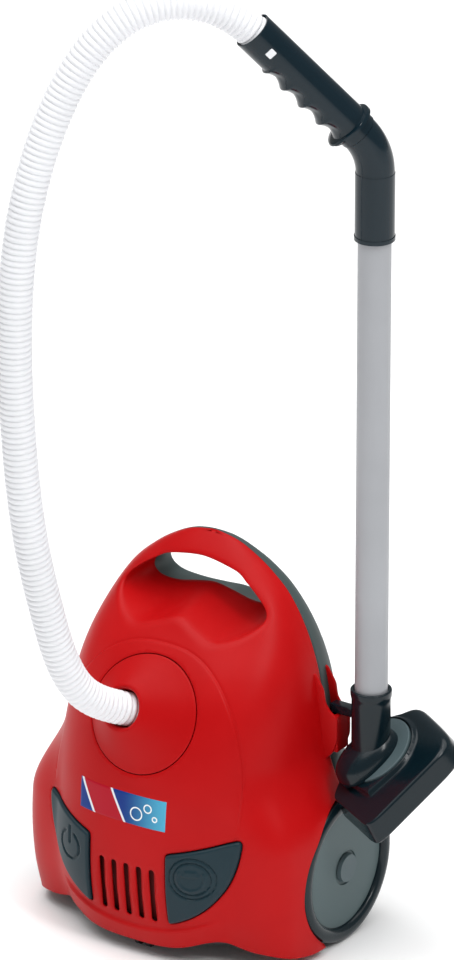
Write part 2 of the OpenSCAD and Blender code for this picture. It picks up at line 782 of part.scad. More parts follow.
// Ring that holds the motor, on a foot that stands on the floor pan
module motor_bracket() color(DARK) {
    from = motor_y + 9;
    depth = motor_len - 12;
    difference() {
        union() {
            along_motor(from) cylinder(r = motor_r + 2.5, h = depth);
            translate([-motor_r, from, pan_top]) cube([2 * motor_r, depth, motor_z - pan_top]);
        }
        along_motor(from - 1) cylinder(r = motor_r + 0.02, h = depth + 2);
        translate([0, caster_y, 0]) cylinder(r = stem_r + 4.5, h = boss_top + 5);
    }
}

// Battery holder over the opening in the floor pan
module battery_box() {
    module block(grow, low, high) translate([-tray_in.x / 2 - grow, tray_y - grow, low])
        cube([tray_in.x + 2 * grow, tray_in.y + 2 * grow, high - low]);
    color(DARK) difference() {
        block(tray_wall, pan_top, pan_top + tray_in.z + tray_wall);
        block(0, pan_top - 1, pan_top + tray_in.z);
        translate([0, door_screw_y(), 0]) cylinder(r = 4.3, h = 60);
    }
}

function cell_y(k) = tray_y + cell_pitch * (k + 0.5);
cell_z = pan_top + cell_r + 0.6;

module battery_cells() color([0.2, 0.45, 0.3]) for (k = [0 : cell_count - 1])
    translate([0, cell_y(k), cell_z]) rotate([0, k % 2 == 0 ? 90 : -90, 0]) union() {
        translate([0, 0, -cell_len / 2]) cylinder(r = cell_r, h = cell_len - 1);
        translate([0, 0, cell_len / 2 - 1.1]) cylinder(r = 2.7, h = 1.1);
    }

// Spring and plate contacts on the holder's end walls
module battery_contacts() color(STEEL) for (k = [0 : cell_count - 1], s = [-1, 1]) {
    spring_end = (k % 2 == 0 ? -1 : 1) == s;
    length = tray_in.x / 2 - cell_len / 2 - 0.1;
    translate([s * tray_in.x / 2, cell_y(k), cell_z]) rotate([0, -90 * s, 0]) {
        translate([-5, -5, 0]) cube([10, 10, 0.6]);
        cylinder(r1 = spring_end ? 5 : 2, r2 = spring_end ? 3 : 2, h = length);
    }
}

// Door under the cells, with the tab that its screw holds
module battery_door() color(DARK) difference() {
    union() {
        translate([-tray_in.x / 2 + fit, tray_y + fit, pan_z])
            cube([tray_in.x - 2 * fit, tray_in.y - 2 * fit, pan_t]);
        translate([-tab_w / 2, tray_y + tray_in.y - 2, pan_z]) cube([tab_w, tab_len + 2, tab_t]);
    }
    translate([0, door_screw_y(), 0]) cylinder(r = door_screw_r + fit, h = 60);
}

module battery_door_screw() color(STEEL) translate([0, door_screw_y(), pan_z - 0.05]) mirror([0, 0, 1])
    translate([0, 0, -9]) screw(door_screw_r, 9, screw_head_r, 1.6);

// Frame of the nozzle: Z is the turntable's axis, X runs along the head, zero at the turntable's top
module at_turntable() {
    translate([wand_x, wand_y, neck_z]) rotate([0, 0, 90 - nozzle_heading]) rotate([0, -nozzle_tilt, 0])
        translate([0, 0, -turntable_drop]) children();
}

// Collar, elbow, turntable and spigot in one piece, with the hook that parks on the bracket
module nozzle_neck() color(DARK) {
    difference() {
        union() {
            intersection() {
                translate([wand_x, wand_y, neck_z - 30]) cylinder(r = socket_r, h = collar_top - neck_z + 30);
                at_turntable() translate([0, 0, -turntable_t / 2]) cylinder(r = 60, h = 90);
            }
            translate([wand_x, wand_y, collar_top - 6]) cylinder(r = socket_r + socket_lip, h = 6);
            at_turntable() {
                translate([0, 0, -turntable_t]) cylinder(r = turntable_r, h = turntable_t);
                translate([-4, 0, -1]) cylinder(r1 = 21, r2 = 13, h = 14);
                translate([0, 0, -turntable_t - spigot_len]) cylinder(r = spigot_r, h = spigot_len + 1);
            }
            translate([hook_x, wand_y - hook_w / 2, web_top + fit])
                cube([wand_x - hook_x - 5, hook_w, hook_h]);
            translate([hook_x, wand_y - hook_w / 2, web_top - hook_drop])
                cube([hook_t, hook_w, hook_drop + hook_h + fit]);
        }
        translate([wand_x, wand_y, tube_foot - 1]) cylinder(r = tube_r + run_gap, h = 60);
        translate([wand_x, wand_y, neck_z]) cylinder(r = spigot_r - spigot_wall, h = 60);
        at_turntable() translate([0, 0, -40])
            cylinder(r = spigot_r - spigot_wall, h = 40 + turntable_drop + 3);
    }
}

module wand_tube() color([0.69, 0.69, 0.7]) translate([wand_x, wand_y, tube_foot]) difference() {
    cylinder(r = tube_r, h = tube_len);
    translate([0, 0, -1]) cylinder(r = tube_r - tube_wall, h = tube_len + 2);
}

// Frame along the grip: Z up its axis, zero where the axes cross
module at_grip() {
    translate([wand_x, wand_y, bend_z]) rotate([0, 0, grip_heading]) rotate([0, grip_turn, 0]) children();
}

// Socket over the tube's top and a hollow bend up to the grip
module wand_elbow() color(DARK) {
    translate([wand_x, wand_y, elbow_foot]) difference() {
        union() {
            cylinder(r = socket_r, h = bend_z - elbow_reach - elbow_foot);
            cylinder(r = socket_r + 0.5, h = 3);
        }
        translate([0, 0, -1]) cylinder(r = tube_r + run_gap, h = tube_top - elbow_foot + 1.5);
        cylinder(r = elbow_bore, h = 200);
    }
    translate([wand_x, wand_y, bend_z - elbow_reach]) rotate([0, 0, grip_heading])
        translate([elbow_bend, 0, 0]) rotate([90, 0, 0]) intersection() {
            rotate_extrude() translate([elbow_bend, 0]) difference() {
                circle(r = elbow_r);
                circle(r = elbow_bore - 0.4);
            }
            translate([0, 0, -30]) linear_extrude(60) polygon([
                [0, 0], [-2 * elbow_bend, 0], [-2 * elbow_bend, 2 * elbow_bend * tan(grip_turn)]
            ]);
        }
}

// Straight grip with finger grooves underneath, a guard at its foot and a window for the hose's tab
module hand_grip() color(DARK) {
    comb_foot = grip_start + guard_up + guard_t / 2;
    pitch = (grip_len - hose_in_grip - guard_up - 12) / finger_count;
    steps = 6;
    comb = concat(
        [[5, comb_foot]],
        [for (k = [0 : finger_count * steps]) let (u = k / steps - floor(k / steps))
            [grip_r - 0.8 + tooth_h * (1 - 4 * u * (1 - u)), comb_foot + pitch * k / steps]],
        [[5, comb_foot + pitch * finger_count]]
    );
    at_grip() difference() {
        union() {
            translate([0, 0, grip_start]) cylinder(r = grip_r, h = grip_len);
            translate([0, 0, grip_start + guard_up]) cylinder(r = guard_r, h = guard_t);
            rotate([90, 0, 0]) linear_extrude(tooth_w, center = true) polygon(comb);
        }
        translate([0, 0, grip_start - 1]) cylinder(r = sleeve_r + 0.1, h = grip_len + 2);
        translate([0, 0, grip_end - hose_in_grip - 4]) cylinder(r = cup_r, h = 60);
        rotate([0, 0, window_turn]) translate([11, -window.x / 2, grip_end - hose_in_grip - 3])
            cube([30, window.x, window.y]);
    }
}

// White end sleeve of the hose, held in the grip by a tab in the window
module hose_sleeve() color(WHITE) at_grip() {
    foot = grip_end - hose_in_grip;
    difference() {
        union() {
            translate([0, 0, foot - 3.5]) cylinder(r = cup_r - fit, h = 3.5);
            translate([0, 0, foot - sleeve_len]) cylinder(r = sleeve_r, h = sleeve_len);
            rotate([0, 0, window_turn]) translate([10, -window.x / 2 + fit, foot - 2.6])
                cube([grip_r - 10.6, window.x - 2 * fit, 2.4]);
        }
        translate([0, 0, foot - sleeve_len - 1]) cylinder(r = sleeve_r - sleeve_wall, h = sleeve_len + 2);
    }
}

// Plan of the nozzle: square front corners, round back corners
module head_plan(grow, flare) {
    for (end = [[-1, head_left + flare, back_corner], [1, head_right, far_corner]]) {
        reach = end[1] + grow;
        translate([end[0] * (reach - front_corner), front_corner - head_front - grow, 0])
            circle(r = front_corner, $fn = 32);
        translate([end[0] * (reach - end[2]), head_back + grow - end[2], 0]) circle(r = end[2], $fn = 48);
    }
}

// Tapered block of the nozzle between two heights, under the turntable
module head_block(grow, top, bottom) {
    hull() {
        translate([0, 0, top - 0.1]) linear_extrude(0.1) head_plan(grow - 2, 0);
        translate([0, 0, top - 3]) linear_extrude(0.1) head_plan(grow, 1);
        translate([0, 0, bottom]) linear_extrude(0.1) head_plan(grow, head_flare);
    }
}

head_top = -turntable_t - head_gap;
head_low = head_top - head_h;

module at_sole_screws(z) for (s = [-1, 1]) translate([s * sole_screw_x, -sole_screw_y, z]) children();

module nozzle_head() color(DARK) at_turntable() difference() {
    head_block(0, head_top, head_low);
    difference() {
        head_block(-head_wall, head_top - head_wall, head_low - 1);
        at_sole_screws(head_low + sole_t + 0.3) cylinder(r = screw_r + 1.8, h = head_h);
    }
    at_sole_screws(head_low) cylinder(r = screw_r + 0.05, h = 9.5);
    translate([0, 0, head_top - head_wall - fit - 2.4]) cylinder(r = spigot_r + 2 + fit, h = 2.4 + fit);
    cylinder(r = spigot_r + fit, h = 60, center = true);
}

// Plate that closes the nozzle, with the suction mouth
module nozzle_sole() color(GREY) at_turntable() difference() {
    translate([0, 0, head_low + 0.2]) linear_extrude(sole_t) hull()
        head_plan(-head_wall - fit - 0.4, head_flare - 2);
    translate([-mouth.x / 2, -mouth_shift - mouth.y / 2, head_low - 1]) cube([mouth.x, mouth.y, 10]);
    at_sole_screws(head_low - 1) cylinder(r = screw_r + 0.15, h = 10);
}

// Ring that keeps the turntable's spigot in the head
module turntable_ring() color(GREY) at_turntable() difference() {
    translate([0, 0, head_top - head_wall - fit - 2]) cylinder(r = spigot_r + 2, h = 2);
    translate([0, 0, head_top - 20]) cylinder(r = spigot_r + 0.02, h = 20);
}

module sole_screws() color(STEEL) at_turntable() at_sole_screws(head_low + 8.15) mirror([0, 0, 1])
    screw(screw_r, 8, screw_head_r * 0.8, 1.2);

// A point of the hose's middle line: an even cubic spline near the route's points
function route_knot(k) =
    k < 0 ? 2 * ROUTE[0] - ROUTE[1]
    : k >= len(ROUTE) ? 2 * ROUTE[len(ROUTE) - 1] - ROUTE[len(ROUTE) - 2] : ROUTE[k];
function route_at(s) =
    let (i = min(floor(s), len(ROUTE) - 2), t = s - i)
    ((1 - t) ^ 3 * route_knot(i - 1) + (3 * t ^ 3 - 6 * t ^ 2 + 4) * route_knot(i)
     + (-3 * t ^ 3 + 3 * t ^ 2 + 3 * t + 1) * route_knot(i + 1) + t ^ 3 * route_knot(i + 2)) / 6;

// Places along the route at even lengths
route_n = 360;
route_pts = [for (k = [0 : route_n]) route_at((len(ROUTE) - 1) * k / route_n)];
route_len = [
    for (k = 0, s = 0; k <= route_n;
         k = k + 1, s = k <= route_n ? s + norm(route_pts[k] - route_pts[k - 1]) : s) s
];
hose_len = route_len[route_n];
function route_index(d, low = 0, high = route_n) =
    let (m = floor((low + high) / 2))
    high - low <= 1 ? low
    : route_len[m] <= d ? route_index(d, m, high) : route_index(d, low, m);
function hose_point(d) =
    let (k = min(route_n - 1, route_index(d)), f = (d - route_len[k]) / (route_len[k + 1] - route_len[k]))
    mix(route_pts[k], route_pts[k + 1], f);

// The ribbed hose with its bore: rings out along the ribs and back along the bore
module hose() color(WHITE) {
    outer_n = 2 * rib_count;
    outer_pts = [for (k = [0 : outer_n]) hose_point(hose_len * k / outer_n)];
    outer_r = [for (k = [0 : outer_n]) k % 2 == 0 ? hose_r - rib_h : hose_r];
    outer = tube_rings(outer_pts, outer_r, hose_sides, hose_side);
    inner_pts = [for (k = [0 : bore_rings]) hose_point(hose_len * k / bore_rings)];
    inner = tube_rings(inner_pts, [for (p = inner_pts) hose_bore / 2], hose_sides, hose_side);
    rings = concat(outer, [for (k = [bore_rings : -1 : 0]) inner[k]]);
    m = hose_sides;
    n = len(rings);
    faces = [
        for (i = [0 : n - 1], k = [0 : m - 1])
            let (j = (i + 1) % n, a = i * m + k, b = i * m + (k + 1) % m,
                 c = j * m + (k + 1) % m, d = j * m + k)
            each [[a, d, c], [a, c, b]]
    ];
    polyhedron([for (ring = rings) each ring], faces);
}

front_shell();
rear_shell();
base_pan();
hose_port();
front_label();
park_bracket();
shell_screws();
axle();
axle_bushes();
axle_caps();
button_carrier();
power_switch();
motor();
motor_bracket();
battery_box();
battery_cells();
battery_contacts();
battery_door();
battery_door_screw();
wheel_left();
wheel_right();
caster_fork();
caster_wheels();
caster_pin();
power_button();
cord_button();
power_button_spring();
cord_button_spring();
motor_shaft();
fan();
nozzle_neck();
wand_tube();
wand_elbow();
hand_grip();
hose_sleeve();
nozzle_head();
nozzle_sole();
turntable_ring();
sole_screws();
hose();
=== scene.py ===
"""Toy vacuum cleaner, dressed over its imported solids. Shapes are worked out in millimetres."""

import math

import bmesh
import bpy
import numpy as np
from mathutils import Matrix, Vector
from mathutils.geometry import delaunay_2d_cdt


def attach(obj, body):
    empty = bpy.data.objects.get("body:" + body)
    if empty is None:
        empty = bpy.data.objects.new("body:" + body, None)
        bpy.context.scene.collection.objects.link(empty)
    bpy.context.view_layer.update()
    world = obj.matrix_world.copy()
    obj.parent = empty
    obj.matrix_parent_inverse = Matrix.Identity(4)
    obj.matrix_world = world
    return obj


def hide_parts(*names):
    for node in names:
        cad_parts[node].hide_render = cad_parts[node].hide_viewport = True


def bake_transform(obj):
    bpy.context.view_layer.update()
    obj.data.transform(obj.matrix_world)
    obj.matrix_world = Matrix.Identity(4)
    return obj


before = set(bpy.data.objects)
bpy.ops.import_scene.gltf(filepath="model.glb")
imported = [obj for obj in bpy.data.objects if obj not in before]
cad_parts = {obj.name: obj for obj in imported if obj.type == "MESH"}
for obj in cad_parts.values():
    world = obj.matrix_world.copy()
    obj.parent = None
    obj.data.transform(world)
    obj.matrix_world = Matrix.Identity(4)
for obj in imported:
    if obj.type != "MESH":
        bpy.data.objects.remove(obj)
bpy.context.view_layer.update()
MM = 0.001


# Plain mathematics


def smooth(a, b, x):
    """Rises from 0 at a to 1 at b on the cubic 3t^2 - 2t^3."""
    t = np.clip((x - a) / (b - a), 0, 1)
    return t * t * (3 - 2 * t)


def mix(a, b, t):
    """Straight blend from a to b."""
    return a + (b - a) * t


def unit(v):
    """Vectors divided by their lengths."""
    return v / np.maximum(np.linalg.norm(v, axis=-1, keepdims=True), 1e-12)


def bend(a, b, c, t):
    """Quadratic curve from a to c that starts and ends towards b."""
    return (1 - t) ** 2 * a + 2 * t * (1 - t) * b + t**2 * c


def closed_curve(points, each):
    """Closed cubic through the points, with the same number of samples in each span."""
    p = np.asarray(points, float)
    k = np.arange(len(p) * each)
    i, t = k // each, ((k % each) / each)[:, None]
    a, b, c, d = (p[(i + j) % len(p)] for j in (-1, 0, 1, 2))
    return 0.5 * (2 * b + (c - a) * t + (2 * a - 5 * b + 4 * c - d) * t**2 + (3 * b - a - 3 * c + d) * t**3)


def run_of(points):
    """Length along a line at each of its points."""
    return np.concatenate([[0], np.cumsum(np.linalg.norm(np.diff(points, axis=0), axis=1))])


def evened(loop, count):
    """Closed outline with points at even lengths."""
    line = np.vstack([loop, loop[:1]])
    run = run_of(line)
    at = np.linspace(0, run[-1], count, endpoint=False)
    return np.stack([np.interp(at, run, axis) for axis in line.T], -1)


def anticlockwise(loop):
    """The outline, turned round if its area is negative."""
    x, y = loop.T
    return loop if (x * np.roll(y, -1) - np.roll(x, -1) * y).sum() > 0 else loop[::-1]


def grown(loop, by):
    """Flat closed outline, anticlockwise, moved outwards along its normals."""
    along = np.roll(loop, -1, 0) - np.roll(loop, 1, 0)
    return loop + by * unit(np.stack([along[:, 1], -along[:, 0]], -1))


def rounded(corners, radius, steps=5):
    """Polyline whose inner corners become quadratic curves that start a radius before each corner."""
    c = np.asarray(corners, float)
    out = [c[:1]]
    for before, at, after in zip(c, c[1:], c[2:]):
        r = np.minimum(radius, 0.48 * min(np.linalg.norm(at - before), np.linalg.norm(after - at)))
        t = np.linspace(0, 1, steps)[:, None]
        out.append(bend(at + r * unit(before - at), at, at + r * unit(after - at), t))
    return np.vstack(out + [c[-1:]])


def inside(points, loop):
    """Even-odd test of points against a closed outline."""
    x, y = points[:, :1], points[:, 1:]
    a, b = loop, np.roll(loop, -1, 0)
    crosses = (a[:, 1] > y) != (b[:, 1] > y)
    rise = np.where(b[:, 1] == a[:, 1], 1e-12, b[:, 1] - a[:, 1])
    at = a[:, 0] + (y - a[:, 1]) * (b[:, 0] - a[:, 0]) / rise
    return (crosses & (x < at)).sum(1) % 2 == 1


def edge_distance(points, line, closed=True):
    """Distance from points to the nearest piece of a polyline."""
    a = line if closed else line[:-1]
    d = (np.roll(line, -1, 0) if closed else line[1:]) - a
    best = np.full(len(points), 1e9)
    for part in np.array_split(np.arange(len(points)), max(1, len(points) // 4000)):
        r = points[part][:, None] - a
        t = np.clip((r * d).sum(-1) / np.maximum((d * d).sum(-1), 1e-12), 0, 1)
        best[part] = np.linalg.norm(r - t[..., None] * d, axis=-1).min(1)
    return best


def nearest(points, targets):
    """Index of the point that is nearest to each target: the least of |p|^2 - 2 p.t."""
    square = (points**2).sum(1)
    parts = np.array_split(targets, len(targets) // 400 + 1)
    return np.concatenate([(square - 2 * part @ points.T).argmin(1) for part in parts])


def cells(points, size):
    """One whole number for the square cell that each point lies in."""
    k = np.floor(points / size).astype(int)
    return k[:, 0] * 100003 + k[:, 1]


def lattice(low, high, step):
    """Points of an even triangular lattice over a rectangle."""
    n = np.ceil((np.asarray(high) - low) / (step, step * 0.866)).astype(int) + 1
    i, j = np.meshgrid(np.arange(n[0]), np.arange(n[1]), indexing="ij")
    return np.stack([low[0] + step * (i + 0.5 * (j % 2)), low[1] + 0.866 * step * j], -1).reshape(-1, 2)


def triangles(points, edges):
    """Constrained Delaunay triangles over flat points."""
    made = delaunay_2d_cdt([Vector(p) for p in points], [tuple(map(int, e)) for e in edges], [], 0, 1e-5)
    return np.array([tuple(v) for v in made[0]]), np.array(made[2])


def ray(a):
    """Flat unit vectors at the given angles."""
    return np.stack([np.cos(a), np.sin(a)], -1)


def polar(r, a, h):
    """Points at radius r, angle a and height h."""
    return np.stack(np.broadcast_arrays(r * np.cos(a), r * np.sin(a), h), -1)


def pairs(x, z):
    """Every pair of an x and a z."""
    return np.stack(np.meshgrid(x, z, indexing="ij"), -1).reshape(-1, 2)


def chain(first, count, closed=True):
    """Index pairs that join a run of points."""
    k = np.arange(first, first + count)
    return np.stack([k, np.roll(k, -1)], -1)[: None if closed else -1]


# Mesh making


def grid(p, wrap_rows=False, wrap_columns=False, flip=False):
    """Quads over rows and columns of points."""
    n, m = p.shape[:2]
    k = np.arange(n * m).reshape(n, m)
    k = np.vstack([k, k[:1]]) if wrap_rows else k
    k = np.hstack([k, k[:, :1]]) if wrap_columns else k
    f = np.stack([k[:-1, :-1], k[:-1, 1:], k[1:, 1:], k[1:, :-1]], -1).reshape(-1, 4)
    return p.reshape(-1, 3), f[:, ::-1] if flip else f


def lid(ring, flip=False):
    """One flat face over a ring."""
    k = np.arange(len(ring))
    return ring, (k[::-1] if flip else k)[None]


def frame_of(origin, x, z):
    """Origin and three unit axes, from an X direction and a Z axis."""
    z = unit(np.asarray(z, float))
    x = np.asarray(x, float)
    x = unit(x - z * (x @ z))
    return np.asarray(origin, float), np.stack([x, np.cross(z, x), z])


def place(local, at):
    """Local coordinates carried into the row frame."""
    return at[0] + np.asarray(local) @ at[1]


def turned(profile, at, n=96):
    """Surface of revolution: each profile point (radius, height) runs round the frame's Z axis."""
    r, h = np.asarray(profile, float).T[:, :, None]
    a = np.linspace(0, 2 * np.pi, n, endpoint=False)
    return grid(place(polar(r, a, h), at), wrap_columns=True)


def swept(path, radius, side, n=48):
    """Round tube: radius[k, j] at path point k and angle j, about the path's own tangent."""
    t = unit(np.gradient(path, axis=0))
    u = unit(np.cross(side, t))
    v = np.cross(t, u)
    a = np.linspace(0, 2 * np.pi, n, endpoint=False)
    r = np.broadcast_to(radius, (len(path), n))[..., None]
    return path[:, None] + r * (np.cos(a)[:, None] * u[:, None] + np.sin(a)[:, None] * v[:, None])


def stacked(outline, levels, at):
    """Rings of a flat outline: each level (inset, height) moves it inwards and up."""
    rings = [np.column_stack([grown(outline, -i), np.full(len(outline), h)]) for i, h in levels]
    return place(np.array(rings), at)


def solid_of_rings(p):
    """Closed solid of stacked rings, with flat faces at both ends."""
    return [grid(p, wrap_columns=True), lid(p[0], True), lid(p[-1])]


def add(name, data):
    """New object in the scene for a mesh, a light or a camera."""
    o = bpy.data.objects.new(name, data)
    bpy.context.scene.collection.objects.link(o)
    return o


def put(name, parts, material, body, nodes, angle, weld=0.01, outwards=True):
    """Joins parts into one welded mesh, shades it smooth up to an angle, and puts it on its body."""
    points, faces, first = [], [], 0
    for p, f in parts:
        points.append(np.asarray(p, float).reshape(-1, 3))
        faces += (np.asarray(f) + first).tolist()
        first += len(points[-1])
    mesh = bpy.data.meshes.new(name)
    mesh.from_pydata((np.vstack(points) * MM).tolist(), [], faces)
    b = bmesh.new()
    b.from_mesh(mesh)
    bmesh.ops.remove_doubles(b, verts=b.verts, dist=weld * MM)
    bmesh.ops.dissolve_degenerate(b, edges=b.edges, dist=1e-7)
    if outwards:
        bmesh.ops.recalc_face_normals(b, faces=b.faces)
    b.to_mesh(mesh)
    b.free()
    mesh.shade_smooth()
    mesh.set_sharp_from_angle(angle=math.radians(angle))
    mesh.materials.append(material)
    piece = add(name, mesh)
    if body:
        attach(piece, body)
    if nodes:
        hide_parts(*nodes)
    return piece


def wall(piece, thickness):
    """Gives an open skin its thickness, inwards."""
    m = piece.modifiers.new("wall", "SOLIDIFY")
    m.thickness, m.offset = thickness * MM, -1


# Materials


class Val:
    """A value in a material's tree. Arithmetic on it adds Math nodes."""

    def __init__(self, tree, socket):
        self.tree, self.socket = tree, socket

    def node(self, kind, settings=None, inputs=None, out=0):
        """Any node: its settings first, then the values or links of its sockets."""
        n = self.tree.nodes.new(kind)
        for key, value in (settings or {}).items():
            if key == "stops":
                ramp = n.color_ramp.elements
                while len(ramp) < len(value):
                    ramp.new(0.5)
                for e, (at, colour) in zip(ramp, value):
                    e.position, e.color = at, colour
            else:
                setattr(n, key, value)
        for key, value in (inputs or {}).items():
            if isinstance(value, Val):
                self.tree.links.new(value.socket, n.inputs[key])
            else:
                n.inputs[key].default_value = value
        return Val(self.tree, n.outputs[out])

    def maths(self, operation, a, b):
        """One Math node."""
        return self.node("ShaderNodeMath", {"operation": operation}, {0: a, 1: b})

    def __add__(self, o):
        return self.maths("ADD", self, o)

    __radd__ = __add__

    def __sub__(self, o):
        return self.maths("SUBTRACT", self, o)

    def __rsub__(self, o):
        return self.maths("SUBTRACT", o, self)

    def __mul__(self, o):
        return self.maths("MULTIPLY", self, o)

    __rmul__ = __mul__

    def __pow__(self, o):
        return self.maths("POWER", self, o)

    def rise(self, low, high):
        """Smooth step from low to high."""
        return self.node("ShaderNodeMapRange", {"interpolation_type": "SMOOTHSTEP"},
                         {"Value": self, "From Min": low, "From Max": high})

    def blend(self, a, b):
        """Colour a where this is 0 and b where it is 1."""
        return self.node("ShaderNodeMix", {"data_type": "RGBA"}, {0: self, 6: a, 7: b}, 2)

    def noise(self, scale, detail=2.0):
        """Noise over these coordinates."""
        return self.node("ShaderNodeTexNoise", None, {"Vector": self, "Scale": scale, "Detail": detail})

    def axis(self, k):
        """One of these coordinates, in millimetres."""
        return self.node("ShaderNodeSeparateXYZ", None, {0: self}, k) * 1000

    def bump(self, strength):
        """Fine relief with this as its height."""
        return self.node("ShaderNodeBump", None, {"Strength": strength, "Distance": 0.0002, "Height": self})


def paint(red, green, blue, level=1.0):
    """Scene colour of an sRGB colour, scaled."""
    c = np.array([red, green, blue]) / 255
    c = np.where(c <= 0.04045, c / 12.92, ((c + 0.055) / 1.055) ** 2.4) * level
    return (*c.clip(0, 1), 1.0)


def new_material(name):
    """Empty material, its shader, and the object's coordinates."""
    m = bpy.data.materials.new(name)
    m.use_nodes = True
    shader = m.node_tree.nodes["Principled BSDF"]
    return m, shader, Val(m.node_tree, None).node("ShaderNodeTexCoord", out="Object")


def link(value, socket):
    """Lets a value drive a shader's input."""
    value.tree.links.new(value.socket, socket)


def moulded(name, colour, rough, grain=0.06, shift=0.06, gloss=0.3):
    """Moulded plastic: faint flow marks in the colour, a fine grain in the bump, and uneven gloss."""
    m, shader, spot = new_material(name)
    flow, fine = spot.noise(9.0, 3.0), spot.noise(1500.0)
    dark = tuple(c * (1 - shift) for c in colour[:3]) + (1.0,)
    light = tuple(min(1.0, c * (1 + shift) + 0.002) for c in colour[:3]) + (1.0,)
    link(flow.rise(0.3, 0.7).blend(dark, light), shader.inputs["Base Color"])
    link(rough - 0.04 + 0.05 * flow + 0.05 * fine, shader.inputs["Roughness"])
    link(fine.bump(grain), shader.inputs["Normal"])
    shader.inputs["Specular IOR Level"].default_value = gloss
    return m


def metal(name, colour, rough):
    """Bright metal with fine drawn lines."""
    m, shader, spot = new_material(name)
    lines = spot.node("ShaderNodeMapping", None, {"Vector": spot, "Scale": (40.0, 900.0, 900.0)}).noise(1.0)
    dark = tuple(c * 0.8 for c in colour[:3]) + (1.0,)
    link(lines.blend(dark, colour), shader.inputs["Base Color"])
    link(rough + 0.12 * lines, shader.inputs["Roughness"])
    shader.inputs["Metallic"].default_value = 1.0
    return m


RED = moulded("red_plastic", (0.43, 0.002, 0.003, 1.0), 0.38, gloss=0.12)
# Darker copy of the red plastic: painted shade for the hollow behind the slots.
SLOT_SHADE_RED = moulded("red_plastic_painted_shade", (0.09, 0.001, 0.001, 1.0), 0.6)
TAIL_GREY = moulded("tail_plastic", paint(62, 74, 74), 0.5)
BUTTON = moulded("button_plastic", paint(22, 44, 52), 0.38, gloss=0.2)
NOZZLE = moulded("nozzle_plastic", paint(6, 24, 31), 0.2, 0.02, gloss=0.32)
PLATE = moulded("plate_plastic", paint(76, 92, 96), 0.45, 0.03)
GRIP = moulded("grip_plastic", paint(8, 28, 37), 0.13, 0.015, gloss=0.3)
PAN = moulded("pan_plastic", paint(40, 44, 46), 0.55)
TUBE = moulded("tube_plastic", paint(160, 162, 166), 0.4, 0.03)
WHITE = moulded("hose_plastic", paint(232, 233, 236), 0.45, 0.02, shift=0.02)
STEEL = metal("bright_steel", paint(200, 200, 205), 0.25)
BLACK = moulded("black_plastic", paint(22, 22, 24), 0.5)
CELL = moulded("cell_sleeve", paint(60, 120, 80), 0.3)


# Camera and light

AZIMUTH, RISE = math.radians(34), math.radians(23.5)
BACK = np.array([math.sin(AZIMUTH) * math.cos(RISE), -math.cos(AZIMUTH) * math.cos(RISE), math.sin(RISE)])
RIGHT = np.array([math.cos(AZIMUTH), math.sin(AZIMUTH), 0])
UP = np.cross(BACK, RIGHT)
LOOK_AT = np.array([10.25, 0, 338.8])
FAR = 6000.0
MM_PER_PIXEL, IMAGE_HEIGHT, SENSOR = 0.72, 960, 36.0


def facing(way):
    """Turn of a camera or a light that looks along a direction."""
    return Vector(way).to_track_quat("-Z", "Y").to_euler()


lens = bpy.data.cameras.new("camera")
lens.sensor_width = SENSOR
lens.lens = SENSOR * FAR / (MM_PER_PIXEL * IMAGE_HEIGHT)
lens.clip_end = 50
camera = add("camera", lens)
camera.location = (LOOK_AT + FAR * BACK) * MM
camera.rotation_euler = facing(-BACK)
bpy.context.scene.camera = camera


def softbox(name, at, width, height, power):
    """Area light at a place given to the right, up and towards the camera, aimed at the object."""
    light = bpy.data.lights.new(name, "AREA")
    light.shape, light.size, light.size_y, light.energy = "RECTANGLE", width, height, power
    o = add(name, light)
    way = at[0] * RIGHT + at[1] * UP + at[2] * BACK
    o.location = LOOK_AT * MM + way
    o.rotation_euler = facing(-way)


softbox("key_box", (-0.4, 2.4, 1.3), 1.8, 1.8, 20)
softbox("right_strip", (1.35, 1.25, 2.5), 0.45, 1.5, 26)
softbox("left_box", (-2.4, 0.2, -0.5), 0.8, 2.2, 5)

ceiling = bpy.data.lights.new("ceiling", "SUN")
ceiling.energy, ceiling.angle = 2.5, math.radians(80)
add("ceiling", ceiling).rotation_euler = facing(BACK * -0.5 - UP)

sky = bpy.data.worlds.new("studio")
sky.use_nodes = True
sky.node_tree.nodes["Background"].inputs["Color"].default_value = (1, 1, 1, 1)
sky.node_tree.nodes["Background"].inputs["Strength"].default_value = 0.3
bpy.context.scene.world = sky
bpy.context.scene.view_settings.view_transform = "Standard"

FLOOR_HALF, FLOOR_Z = 9, -0.0006
floor_mesh = bpy.data.meshes.new("floor")
corners = [(FLOOR_HALF * x, FLOOR_HALF * y, FLOOR_Z) for x, y in ((-1, -1), (1, -1), (1, 1), (-1, 1))]
floor_mesh.from_pydata(corners, [], [(0, 1, 2, 3)])
paper, paper_shader, _ = new_material("pale_floor")
paper_shader.inputs["Base Color"].default_value = (0.97, 0.97, 0.97, 1)
paper_shader.inputs["Roughness"].default_value = 0.9
paper_shader.inputs["Specular IOR Level"].default_value = 0.0
floor_mesh.materials.append(paper)
add("floor", floor_mesh)


# The hose

ROUTE = np.array([
    [-4, -79, 180], [-13, -95, 188], [-22, -111, 195], [-31, -130, 210], [-37, -144, 240],
    [-41, -155, 284], [-45, -165, 328], [-48, -171, 376], [-50, -174, 424], [-51, -176, 474],
    [-50, -176, 524], [-47, -173, 574], [-40, -165, 622], [-30, -154, 664], [-15, -140, 704],
    [7, -119, 733], [35, -93, 742], [62, -70, 730], [80, -52, 703],
], float)
HOSE_R, RIB_H, RIBS, HOSE_BORE = 12.5, 1.3, 168, 9.5


